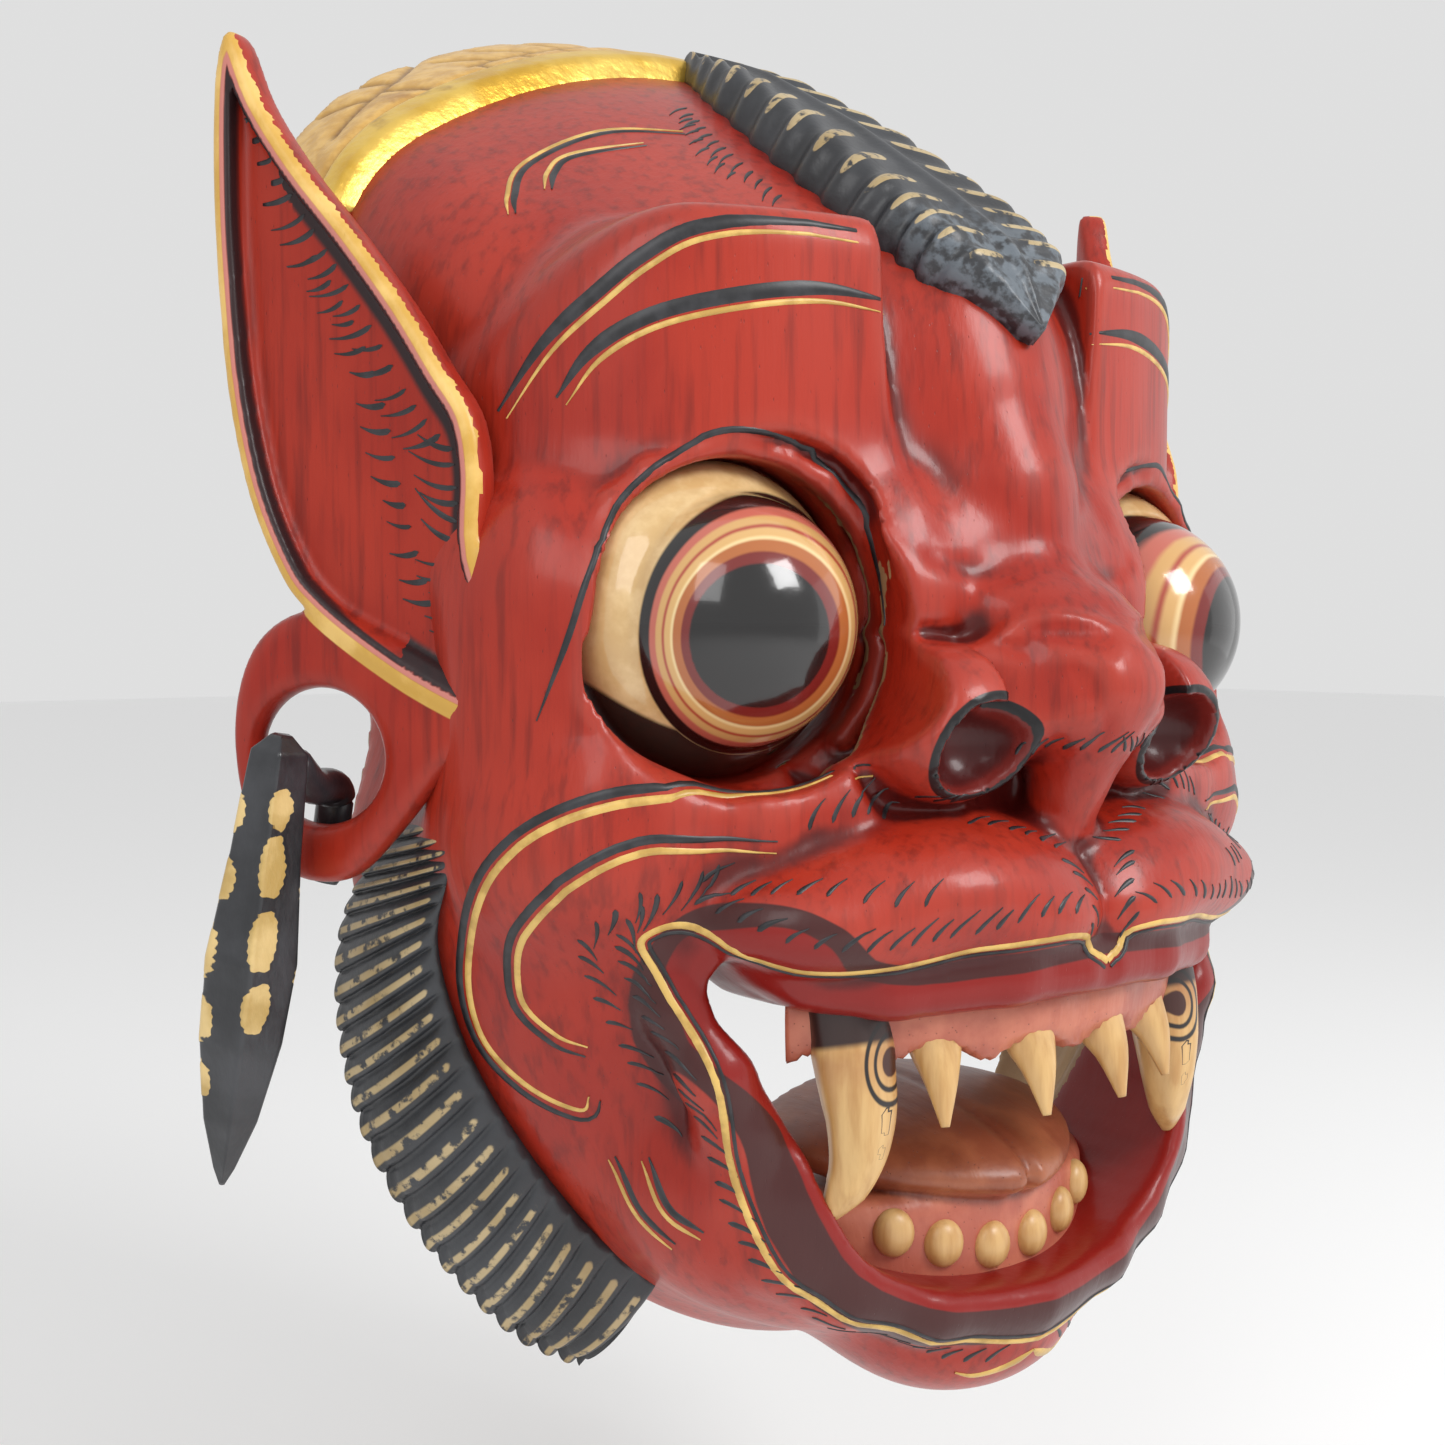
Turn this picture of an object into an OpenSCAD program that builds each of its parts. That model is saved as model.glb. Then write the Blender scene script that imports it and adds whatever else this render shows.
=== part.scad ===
// Carved and painted wooden demon mask that hangs on a wall.
// Millimetres. The face looks along -Y, +Z is up and x = 0 is the midline.
// The origin is the mouth of the hanging hole, on the flat sawn back.

/* [Face] */
// Half width of the skull at the back
skull_half_w = 106; // [102:1:110]
// Half width of the jaw and cheeks at the back
jaw_half_w = 110; // [106:1:112]
// Height of the widest level, below the origin
face_mid_z = -118; // [-122:1:-114]
// Height of the crown above the widest level
crown_h = 150; // [146:1:154]
// Depth of the jaw below the widest level
jaw_h = 150; // [147:1:152]
// Depth of the plain face in front of the origin
face_depth = 137; // [132:1:142]
// Thickness of the carved wall
wall = 11; // [9:0.5:12]
// Lean of the sawn back, in degrees: the chin stands forward
back_lean = 15.6; // [12:0.2:18]

/* [Ears] */
// Angle of the ear blades from the midline, in degrees
ear_sweep = 29; // [27:1:32]
// Thickness of the ear blades
ear_t = 8; // [6:0.5:9]
// Radius of the lobe's opening
lobe_r = 13.5; // [12:0.5:14]
// Radius of the dowels that pin the ears
dowel_r = 3; // [2.5:0.5:3.5]

/* [Earrings] */
// Length of the earring's drop below the middle of the lobe's opening
drop_len = 84; // [70:1:86]
// Largest radius of the drop
drop_r = 8.5; // [6:0.5:9]
// Clearance between the earring's hook and the lobe
hook_gap = 0.7; // [0.5:0.1:1.2]
// Outward lean of the earrings, in degrees
drop_lean = 10; // [0:1:12]

/* [Eyes] */
// Radius of the eyeballs
eye_r = 24; // [22:0.5:25]
// Radius of the openings that the eyeballs fill
eye_hole_r = 27; // [26:0.5:27.5]

/* [Mouth] */
// Radius of the arc that the upper gum follows
gum_r = 76; // [74:1:78]
// Length of the upper teeth
tooth_len = 19; // [16:1:21]
// Length of the fangs
fang_len = 36; // [32:1:38]

/* [Hanging] */
// Radius of the hanging hole
hang_r = 3; // [2:0.5:4]
// Depth of the hanging hole
hang_len = 12; // [8:1:13]

/* [Hidden] */

RED = [0.60, 0.11, 0.09];
GOLD = [0.80, 0.58, 0.16];
BLACK = [0.09, 0.09, 0.10];
IVORY = [0.85, 0.68, 0.40];
PINK = [0.72, 0.36, 0.27];
RAW = [0.62, 0.47, 0.30];

skull_n = 3.3;          // squareness of the skull's outline
jaw_n = 2.1;            // squareness of the jaw's outline
alpha_steps = 24;       // rings from the middle of the face to the rim
beta_steps = 72;        // points round each ring
tan_lean = tan(back_lean);

// Swellings and hollows of the face: middle x, middle z, height, spread in x, spread in z.
BUMPS = [[50, -50, 9, 24, 14],      // brow
         [0, -66, 8, 15, 22],       // between the brows
         [57, -108, -19, 24, 21],   // eye socket
         [0, -121, 30, 15, 14],     // nose
         [28, -129, 17, 11, 9],     // nostril wing
         [0, -165, 22, 42, 17],     // muzzle
         [0, -250, 46, 42, 17],     // chin and lower lip
         [62, -225, 12, 18, 22]];   // side of the jaw

function half_w(z) = z > face_mid_z ? skull_half_w : jaw_half_w;
function half_h(z) = z > face_mid_z ? crown_h : jaw_h;
function outline_n(z) = z > face_mid_z ? skull_n : jaw_n;

// 0 in the middle of the face, 1 on the rim.
function reach(x, z, cut) =
    let (n = outline_n(z))
    pow(pow(abs(x) / (half_w(z) - cut), n)
        + pow(abs(z - face_mid_z) / (half_h(z) - cut), n), 1 / n);

// Squareness of the section: round up and down the face, squarer across it.
function section_n(x, z) =
    let (r = max(norm([x, z - face_mid_z]), 0.01)) 2 + pow(abs(x) / r, 2);

function bump_sum(x, z) =
    let (parts = [for (b = BUMPS, side = b[0] == 0 ? [1] : [-1, 1])
        b[2] * exp(-0.5 * pow((x - side * b[0]) / b[3], 2)
                   - 0.5 * pow((z - b[1]) / b[4], 2))])
    parts * [for (p = parts) 1];

function rim_y(z) = tan_lean * z;

// Depth of the surface at (x, z); cut is 0 outside and the wall's thickness inside.
function skin_y(x, z, cut) =
    let (s = min(reach(x, z, cut), 1),
         n = section_n(x, z),
         c = pow(1 - pow(s, n), 1 / n))
    rim_y(z) - c * (face_depth - cut + rim_y(z)) - bump_sum(x, z) * (1 - pow(s, 16));

// The sides of the head fall away behind the ears, so that the lobes hang free.
pinch_depth = 14;
pinch_z = -127;
pinch_spread = 22;
function ease(v, from, to) =
    let (t = min(max((v - from) / (to - from), 0), 1)) t * t * (3 - 2 * t);
function pinched(p) =
    let (level = exp(-pow((p[2] - pinch_z) / pinch_spread, 2)),
         rear = ease(p[1], -90, -60),
         side = ease(abs(p[0]), 50, 85))
    [p[0] - sign(p[0]) * pinch_depth * level * rear * side, p[1], p[2]];

// Point of a ring: s runs from 0 to 1, beta goes round, in degrees.
function skin_point(s, beta, cut) =
    let (up = sin(beta) > 0,
         n = up ? skull_n : jaw_n,
         w = (up ? skull_half_w : jaw_half_w) - cut,
         h = (up ? crown_h : jaw_h) - cut,
         r = s / pow(pow(abs(cos(beta)) / w, n) + pow(abs(sin(beta)) / h, n), 1 / n),
         x = r * cos(beta),
         z = face_mid_z + r * sin(beta))
    pinched([x, s > 0.9999 ? rim_y(z) : skin_y(x, z, cut), z]);

function ring_s(i) = sin(90 * i / alpha_steps);

function skin_points(cut) =
    [for (i = [1:alpha_steps], j = [0:beta_steps - 1])
        skin_point(ring_s(i), 360 * j / beta_steps, cut)];

// Triangles of one skin: first is the index of its first ring point, pole the index of its middle.
function skin_faces(first, pole) =
    let (quads = [for (i = [0:alpha_steps - 2], j = [0:beta_steps - 1])
             let (k = (j + 1) % beta_steps,
                  a = first + i * beta_steps + j,
                  b = first + i * beta_steps + k,
                  c = first + (i + 1) * beta_steps + k,
                  d = first + (i + 1) * beta_steps + j)
             each [[c, b, a], [d, c, a]]],
         fan = [for (j = [0:beta_steps - 1])
             [first + (j + 1) % beta_steps, first + j, pole]])
    concat(quads, fan);

function flipped(faces) = [for (f = faces) [f[2], f[1], f[0]]];

module hollow_face() {
    count = alpha_steps * beta_steps;
    points = concat(skin_points(0), skin_points(wall),
                    [skin_point(0, 0, 0)], [skin_point(0, 0, wall)]);
    outer_rim = (alpha_steps - 1) * beta_steps;
    inner_rim = count + outer_rim;
    rim = [for (j = [0:beta_steps - 1])
        let (k = (j + 1) % beta_steps)
        each [[inner_rim + k, outer_rim + k, outer_rim + j],
              [inner_rim + j, inner_rim + k, outer_rim + j]]];
    polyhedron(points,
               concat(skin_faces(0, 2 * count), flipped(skin_faces(count, 2 * count + 1)), rim),
               convexity = 10);
}

// Mouth: its upper and lower edge at a distance x from the midline.
mouth_half_w = 70;
mouth_strips = 10;
function mouth_top(x) = -188 + 17 * pow(abs(x) / mouth_half_w, 2);
function mouth_bottom(x) = -174 - 66 * pow(1 - pow(min(abs(x) / mouth_half_w, 1), 2.6), 1 / 2);

module edge_rod(x, z) {
    translate([x, -80, z]) rotate([90, 0, 0]) cylinder(r = 0.5, h = 120, $fn = 8);
}

module mouth_cutter() {
    step = 2 * mouth_half_w / mouth_strips;
    for (i = [0:mouth_strips - 1])
        hull()
            for (x = [-mouth_half_w + i * step, -mouth_half_w + (i + 1) * step]) {
                edge_rod(x, mouth_top(x));
                edge_rod(x, mouth_bottom(x));
            }
}

eye_x = 60;
eye_y = -111;
eye_z = -109;
eye_hole_drop = 5;      // the opening's middle sits this far below the eyeball's
eye_turn = 12;          // the openings look outward by this angle
module eye_cutter(side) {
    translate([side * eye_x, eye_y, eye_z - eye_hole_drop])
        rotate([90, 0, side * eye_turn])
            translate([0, 0, -50]) cylinder(r = eye_hole_r, h = 110, $fn = 48);
}

nostril_r = 6;
nostril_depth = 15;
nostril_x = 28;
nostril_y = -157;
nostril_z = -131;
module nostril_cutter(side) {
    translate([side * nostril_x, nostril_y, nostril_z]) rotate([-75, 0, 0])
        cylinder(r = nostril_r, h = nostril_depth, $fn = 24);
}

module face_shell() {
    color(RED) difference() {
        hollow_face();
        mouth_cutter();
        for (side = [-1, 1]) {
            eye_cutter(side);
            nostril_cutter(side);
        }
        for (turn = [0, 1])
            mirror([turn, 0, 0]) {
                ear_plate();
                ear_dowels();
            }
    }
}

// A strip swept round the face: rings of points, each ring a closed section.
module swept(rings) {
    n = len(rings[0]);
    last = len(rings) - 1;
    sides = [for (i = [0:last - 1], j = [0:n - 1])
        let (a = i * n + j, b = i * n + (j + 1) % n)
        each [[a, b, b + n], [a, b + n, a + n]]];
    start = [for (j = [1:n - 2]) [0, j + 1, j]];
    end = [for (j = [1:n - 2]) [last * n, last * n + j, last * n + j + 1]];
    polyhedron([for (r = rings) each r], concat(sides, start, end), convexity = 6);
}

band_from = 36;
band_to = 144;
band_steps = 36;
band_front_s = 0.962;
band_proud = 3.5;
band_sunk = 1;
module headband() {
    function out_dir(beta) = [cos(beta), 0, sin(beta)];
    rings = [for (i = [0:band_steps])
        let (beta = band_from + (band_to - band_from) * i / band_steps,
             back = skin_point(1, beta, 0),
             mid = skin_point((1 + band_front_s) / 2, beta, 0),
             front = skin_point(band_front_s, beta, 0),
             d = out_dir(beta),
             top_back = back + band_proud * d)
        [[back[0], rim_y(back[2]), back[2]] - band_sunk * d - [0, tan_lean * band_sunk * d[2], 0],
         [top_back[0], rim_y(top_back[2]), top_back[2]],
         mid + band_proud * d + [0, -1, 0],
         front + band_proud * d + [0, -2, 0],
         front - band_sunk * d]];
    color(GOLD) swept(rings);
}

lock_steps = 14;
lock_back_z = 21;
lock_tip_z = -47;
lock_half_w = 21;
lock_rise = 8;
module forelock() {
    rings = [for (i = [0:lock_steps])
        let (t = i / lock_steps,
             z = lock_back_z + (lock_tip_z - lock_back_z) * t,
             w = max(0.8, lock_half_w * pow(sin(180 * pow(t, 0.85)), 0.8)),
             y = skin_y(0, z, 0),
             rise = lock_rise * min(1, 0.3 + 3 * t * (1.15 - t)))
        [[-w, skin_y(w, z, 0) - 1, z + 1], [0, y - rise, z + rise * 0.6],
         [w, skin_y(w, z, 0) - 1, z + 1], [0, y + 2, z - 2]]];
    color(BLACK) swept([for (r = rings) [r[3], r[2], r[1], r[0]]]);
}

// Each fringe runs down the side of the jaw and spreads as it goes.
fringe_steps = 22;
fringe_from = 187;
fringe_to = 249;
fringe_sunk = 1;
fringe_front_top = 0.905;
fringe_front_low = 0.965;
fringe_proud_top = 2;
fringe_proud_low = 12;
module fringe() {
    rings = [for (i = [0:fringe_steps])
        let (t = i / fringe_steps,
             beta = fringe_from + (fringe_to - fringe_from) * t,
             front_s = fringe_front_top
                 + (fringe_front_low - fringe_front_top) * min(1, 2.5 * t),
             proud = fringe_proud_top + (fringe_proud_low - fringe_proud_top) * t * t,
             d = [cos(beta), 0, sin(beta)],
             back = skin_point(1, beta, 0),
             mid = skin_point((2 + front_s) / 3, beta, 0),
             front = skin_point(front_s, beta, 0),
             edge = back + proud * d,
             sunk_back = back - fringe_sunk * d)
        [[sunk_back[0], rim_y(sunk_back[2]), sunk_back[2]],
         [edge[0], rim_y(edge[2]), edge[2]],
         mid + 0.8 * proud * d + [0, -1, 0],
         front + 0.5 * proud * d + [0, -1.5, 0],
         front - fringe_sunk * d]];
    color(BLACK) swept(rings);
}
module whisker_fringe_right() { fringe(); }
module whisker_fringe_left() { mirror([1, 0, 0]) fringe(); }

// The ear's own frame: x runs out along the blade, y runs up and z runs in through it.
ear_base = [-98, -100, -127];
module ear_frame() { translate(ear_base) rotate([90, 0, 90 + ear_sweep]) children(); }

lobe_x = 46;
lobe_y = -8;
BLADE = [[-7, 2], [-4, 30], [-1, 52], [11, 57], [16, 65], [24, 77], [35, 91], [47, 105],
         [56, 118], [60, 130], [63, 132], [67, 122], [67.5, 100], [66.5, 80], [64.5, 61],
         [60, 42], [53, 27], [47, 20], [36, 12], [20, 3], [5, -3]];
LOBE = [[40, 20], [50, 21], [58, 17], [63, 9], [65.5, -1], [65, -12], [62, -22], [56, -29.5],
        [48, -32.5], [38, -31], [28, -22], [16, -9], [2, -6], [-6, 0], [0, 6], [20, 8]];
dowel_heights = [6, 26];
dowel_x = 3;
dowel_len = 19;

module ear_plate() {
    ear_frame() linear_extrude(ear_t) {
        polygon(BLADE);
        polygon(LOBE);
    }
}

module ear_dowels() {
    color(RAW) ear_frame()
        for (h = dowel_heights)
            translate([dowel_x, h, 0]) cylinder(r = dowel_r, h = dowel_len, $fn = 32);
}

module ear_blade() {
    color(RED) difference() {
        ear_plate();
        ear_frame() translate([lobe_x, lobe_y, -1]) cylinder(r = lobe_r, h = ear_t + 2, $fn = 64);
        ear_dowels();
    }
}
module ear_right() { ear_blade(); }
module ear_left() { mirror([1, 0, 0]) ear_blade(); }

module ear_dowels_right() { ear_dowels(); }
module ear_dowels_left() { mirror([1, 0, 0]) ear_dowels(); }

// Eyeball with the stub that joins it to the wood above it.
stub_r = 9;
module eyeball() {
    color(IVORY) union() {
        translate([-eye_x, eye_y, eye_z]) sphere(r = eye_r, $fn = 64);
        translate([-eye_x, eye_y + 8, eye_z]) cylinder(r = stub_r, h = eye_r + 4, $fn = 48);
    }
}
module eye_right() { eyeball(); }
module eye_left() { mirror([1, 0, 0]) eyeball(); }

gum_mid_y = -71.5;
gum_t = 10;
gum_top_z = -178;
gum_bottom_z = -193;
gum_half_angle = 46;
module upper_gum() {
    color(PINK) translate([0, gum_mid_y, gum_bottom_z])
        rotate([0, 0, 270 - gum_half_angle])
            rotate_extrude(angle = 2 * gum_half_angle, $fn = 96)
                translate([gum_r - gum_t, 0]) square([gum_t, gum_top_z - gum_bottom_z]);
}

// Place of a tooth on the gum's arc: 0 is straight ahead and + turns to the mask's left.
tooth_lean = 24;
tooth_top_z = -185;
tooth_root_r = 7;
tooth_tip_r = 0.8;
module on_gum(angle) {
    translate([0, gum_mid_y, tooth_top_z]) rotate([0, 0, angle])
        translate([0, -(gum_r - gum_t / 2), 0]) children();
}
module upper_tooth(angle) {
    color(IVORY) on_gum(angle) rotate([180 - tooth_lean, 0, 0])
        cylinder(r1 = tooth_root_r, r2 = tooth_tip_r, h = tooth_len, $fn = 40);
}
tooth_angles = [-24, -8, 8, 24];
module upper_tooth_1() { upper_tooth(tooth_angles[0]); }
module upper_tooth_2() { upper_tooth(tooth_angles[1]); }
module upper_tooth_3() { upper_tooth(tooth_angles[2]); }
module upper_tooth_4() { upper_tooth(tooth_angles[3]); }

fang_angle = 38;
fang_lean = 4;
fang_root_r = 8.5;
fang_mid_r = 7.6;
fang_tip_r = 0.8;
module fang(side) {
    half = fang_len / 2;
    color(IVORY) on_gum(side * fang_angle) translate([0, -2, 2]) rotate([180 - fang_lean, 0, 0])
        union() {
            cylinder(r1 = fang_root_r, r2 = fang_mid_r, h = half, $fn = 40);
            translate([0, 0, half]) cylinder(r1 = fang_mid_r, r2 = fang_tip_r, h = half, $fn = 40);
        }
}
module fang_right() { fang(-1); }
module fang_left() { fang(1); }

tongue_half_w = 36;
tongue_r = 56;          // plan radius of its front
tongue_mid_y = -76;
tongue_belly_r = 64;    // radius of its underside, seen from the front
tongue_belly_z = -191;
TONGUE_SIDE = [[-140, -240], [-136, -226], [-127, -221], [-110, -212], [-88, -210],
               [-84, -258], [-120, -251]];
module tongue() {
    color(PINK) intersection() {
        translate([-tongue_half_w, 0, 0]) rotate([90, 0, 90])
            linear_extrude(2 * tongue_half_w) polygon(TONGUE_SIDE);
        translate([0, tongue_mid_y, -260]) cylinder(r = tongue_r, h = 60, $fn = 96);
        translate([0, -70, tongue_belly_z]) rotate([90, 0, 0])
            cylinder(r = tongue_belly_r, h = 80, $fn = 96);
    }
}

lower_tooth_r = 4.8;
lower_angles = [-29, -18, -6, 6, 18, 29];
lower_tooth_z = [-230, -233, -235, -235, -233, -230];
module lower_tooth(i) {
    color(IVORY) translate([0, tongue_mid_y, lower_tooth_z[i]]) rotate([0, 0, lower_angles[i]])
        translate([0, -tongue_r + 1, 0]) sphere(r = lower_tooth_r, $fn = 40);
}
module lower_tooth_1() { lower_tooth(0); }
module lower_tooth_2() { lower_tooth(1); }
module lower_tooth_3() { lower_tooth(2); }
module lower_tooth_4() { lower_tooth(3); }
module lower_tooth_5() { lower_tooth(4); }
module lower_tooth_6() { lower_tooth(5); }

// Earring: a pointed drop in front of the lobe, a bridge through the opening and a short leg
// behind it, so that the piece hooks over the bottom of the ring and slides round it.
bridge_w = 9;
leg_t = 4;
leg_drop = 24;
head_r = 5.5;
DROP_PROFILE = [[0, 4.5], [2.5, 3.8], [4.5, 1.5], [head_r, -3], [6.4, -18], [drop_r, -40],
                [drop_r * 0.86, -56], [4.6, -72], [0.6, -drop_len], [0, -drop_len]];
module earring() {
    front = -drop_r - hook_gap;
    color(BLACK) ear_frame() translate([lobe_x, lobe_y, 0]) rotate([0, 0, drop_lean]) union() {
        translate([0, 0, front]) rotate([-90, 0, 0]) rotate_extrude($fn = 48)
            polygon([for (p = DROP_PROFILE) [p[0], p[1]]]);
        intersection() {
            translate([-bridge_w / 2, -lobe_r, front])
                cube([bridge_w, lobe_r + 2, ear_t + hook_gap + leg_t - front]);
            translate([0, 0, front]) cylinder(r = lobe_r - hook_gap, h = 40, $fn = 64);
        }
        translate([-bridge_w / 2, -leg_drop, ear_t + hook_gap])
            cube([bridge_w, leg_drop + 2, leg_t]);
    }
}
module earring_right() { earring(); }
module earring_left() { mirror([1, 0, 0]) earring(); }

// Block behind the crown: its back lies in the plane of the rim and takes the nail.
block_w = 50;
block_t = 15;
block_low = 10;
block_high = 27;
module hanger_block() {
    color(RAW) rotate([-back_lean, 0, 0]) difference() {
        translate([-block_w / 2, -block_t, -block_low]) cube([block_w, block_t, block_low + block_high]);
        translate([0, 1, 0]) rotate([90, 0, 0]) cylinder(r = hang_r, h = hang_len + 1, $fn = 48);
    }
}

face_shell();
headband();
forelock();
whisker_fringe_right();
whisker_fringe_left();
ear_right();
ear_left();
ear_dowels_right();
ear_dowels_left();
eye_right();
eye_left();
upper_gum();
fang_right();
fang_left();
upper_tooth_1();
upper_tooth_2();
upper_tooth_3();
upper_tooth_4();
tongue();
lower_tooth_1();
lower_tooth_2();
lower_tooth_3();
lower_tooth_4();
lower_tooth_5();
lower_tooth_6();
earring_right();
earring_left();
hanger_block();
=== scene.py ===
"""Carved and painted wooden demon mask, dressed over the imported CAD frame.

Lengths inside the sculpting code are millimetres; every Blender object is in metres.
The face looks along -Y and the mask's own right side is at -X.
"""
import math
import random

import bpy
import numpy as np
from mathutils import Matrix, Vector
from mathutils.bvhtree import BVHTree


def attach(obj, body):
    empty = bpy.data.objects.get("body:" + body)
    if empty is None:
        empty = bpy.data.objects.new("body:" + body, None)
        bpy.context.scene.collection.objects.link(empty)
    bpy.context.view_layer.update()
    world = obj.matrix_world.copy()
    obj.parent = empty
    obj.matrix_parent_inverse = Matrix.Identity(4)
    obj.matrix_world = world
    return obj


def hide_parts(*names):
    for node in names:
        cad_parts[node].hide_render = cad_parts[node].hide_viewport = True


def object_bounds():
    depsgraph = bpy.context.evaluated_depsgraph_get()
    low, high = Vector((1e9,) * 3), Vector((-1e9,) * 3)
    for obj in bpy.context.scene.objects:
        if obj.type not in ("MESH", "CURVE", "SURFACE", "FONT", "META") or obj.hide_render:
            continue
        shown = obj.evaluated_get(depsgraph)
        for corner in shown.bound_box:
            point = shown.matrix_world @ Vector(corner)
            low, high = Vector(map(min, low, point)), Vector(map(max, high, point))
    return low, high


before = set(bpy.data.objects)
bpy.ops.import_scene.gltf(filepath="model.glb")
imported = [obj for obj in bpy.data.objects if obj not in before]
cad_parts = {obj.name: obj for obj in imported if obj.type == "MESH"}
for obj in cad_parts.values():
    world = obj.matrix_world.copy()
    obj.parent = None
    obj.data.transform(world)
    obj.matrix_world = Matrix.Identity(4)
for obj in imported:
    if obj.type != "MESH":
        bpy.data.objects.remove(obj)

CAD_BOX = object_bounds()
MM = 0.001
random.seed(7)


# ---------------------------------------------------------------- camera, floor and lights

CAMERA_AT = Vector((-0.270, -0.380, -0.110))
CAMERA_YAW = 38.06
CAMERA_PITCH = -3.04
CAMERA_LENS = 44.84
SENSOR = 36.0
FLOOR_DROP = 0.10


def make_camera():
    data = bpy.data.cameras.new("camera")
    data.lens = CAMERA_LENS
    data.sensor_width = SENSOR
    data.clip_start = 0.01
    camera = bpy.data.objects.new("camera", data)
    camera.location = CAMERA_AT
    camera.rotation_euler = (math.radians(90 + CAMERA_PITCH), 0, -math.radians(CAMERA_YAW))
    bpy.context.collection.objects.link(camera)
    bpy.context.scene.camera = camera


def make_light(name, at, target, size, power, tint=(1, 1, 1)):
    data = bpy.data.lights.new(name, "AREA")
    data.shape = "RECTANGLE"
    data.size = size[0]
    data.size_y = size[1]
    data.energy = power
    data.color = tint
    light = bpy.data.objects.new(name, data)
    light.location = at
    light.rotation_euler = (Vector(target) - Vector(at)).to_track_quat("-Z", "Y").to_euler()
    bpy.context.collection.objects.link(light)


def make_studio():
    floor_z = CAD_BOX[0][2] - FLOOR_DROP
    verts = [(-6, -6, floor_z), (6, -6, floor_z), (6, 6, floor_z), (-6, 6, floor_z)]
    mesh = bpy.data.meshes.new("floor")
    mesh.from_pydata(verts, [], [(0, 1, 2, 3)])
    floor = bpy.data.objects.new("floor", mesh)
    bpy.context.collection.objects.link(floor)
    material = bpy.data.materials.new("floor_paper")
    material.use_nodes = True
    shader = material.node_tree.nodes["Principled BSDF"]
    shader.inputs["Base Color"].default_value = (0.93, 0.93, 0.93, 1)
    shader.inputs["Roughness"].default_value = 0.9
    mesh.materials.append(material)

    world = bpy.data.worlds.new("studio")
    world.use_nodes = True
    world.node_tree.nodes["Background"].inputs["Color"].default_value = (1, 1, 1, 1)
    world.node_tree.nodes["Background"].inputs["Strength"].default_value = 0.74
    bpy.context.scene.world = world
    middle = (0, -0.08, -0.12)
    make_light("key", (0.25, -0.95, 0.55), middle, (0.42, 0.42), 7.0)
    make_light("window", (-0.75, -0.55, 0.45), middle, (0.4, 0.6), 2.2)
    make_light("fill", (0.9, -0.5, -0.05), middle, (0.8, 0.8), 1.0)
    bpy.context.scene.view_settings.view_transform = "Standard"


make_camera()


# ---------------------------------------------------------------- clay: sculpting with distances


def smooth_min(a, b, k):
    if k <= 0:
        return np.minimum(a, b)
    h = np.clip(0.5 + 0.5 * (b - a) / k, 0, 1)
    return b + (a - b) * h - k * h * (1 - h)


def smooth_max(a, b, k):
    return -smooth_min(-a, -b, k)


def ramp(x, low, high):
    t = np.clip((x - low) / (high - low), 0, 1)
    return t * t * (3 - 2 * t)


class Clay:
    """Signed distances on a grid of points, negative inside the wood."""

    def __init__(self, xs, ys, zs):
        self.axes = [np.asarray(a, np.float32) for a in (xs, ys, zs)]
        self.d = np.full([len(a) for a in self.axes], 50, np.float32)

    def part(self, low, high):
        """Slices and open coordinates of the part of the grid between two corners."""
        cut = []
        for a, lo, hi in zip(self.axes, low, high):
            cut.append(slice(int(np.searchsorted(a, lo)), int(np.searchsorted(a, hi)) + 1))
        x, y, z = [a[c] for a, c in zip(self.axes, cut)]
        return tuple(cut), x[:, None, None], y[None, :, None], z[None, None, :]

    def everywhere(self):
        x, y, z = self.axes
        return x[:, None, None], y[None, :, None], z[None, None, :]

    def add(self, low, high, shape, k=0):
        cut, x, y, z = self.part(low, high)
        self.d[cut] = smooth_min(self.d[cut], shape(x, y, z), k)

    def carve(self, low, high, shape, k=0):
        cut, x, y, z = self.part(low, high)
        self.d[cut] = smooth_max(self.d[cut], -shape(x, y, z), k)

    def ball(self, at, radii, k=0, carve=False):
        reach = max(radii) + k + 4
        act = self.carve if carve else self.add
        act([c - reach for c in at], [c + reach for c in at], ellipsoid(at, radii), k)

    def tube(self, points, radii, k=0, carve=False):
        """A round bar along a line of points, with a radius at each point."""
        act = self.carve if carve else self.add
        reach = max(radii) + k + 3
        for (p, q), (r, s) in zip(zip(points, points[1:]), zip(radii, radii[1:])):
            low = [min(a, b) - reach for a, b in zip(p, q)]
            high = [max(a, b) + reach for a, b in zip(p, q)]
            act(low, high, capsule(p, q, r, s), k)


def ellipsoid(at, radii):
    def shape(x, y, z):
        u, v, w = (x - at[0]) / radii[0], (y - at[1]) / radii[1], (z - at[2]) / radii[2]
        k0 = np.sqrt(u * u + v * v + w * w)
        k1 = np.sqrt((u / radii[0]) ** 2 + (v / radii[1]) ** 2 + (w / radii[2]) ** 2)
        return k0 * (k0 - 1) / np.maximum(k1, 1e-4)
    return shape


def capsule(p, q, r, s):
    p, q = np.array(p, float), np.array(q, float)
    axis = q - p
    length2 = float(axis @ axis)

    def shape(x, y, z):
        dx, dy, dz = x - p[0], y - p[1], z - p[2]
        t = np.clip((dx * axis[0] + dy * axis[1] + dz * axis[2]) / length2, 0, 1)
        gap = np.sqrt((dx - t * axis[0]) ** 2 + (dy - t * axis[1]) ** 2
                      + (dz - t * axis[2]) ** 2)
        return gap - (r + (s - r) * t)
    return shape


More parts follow.
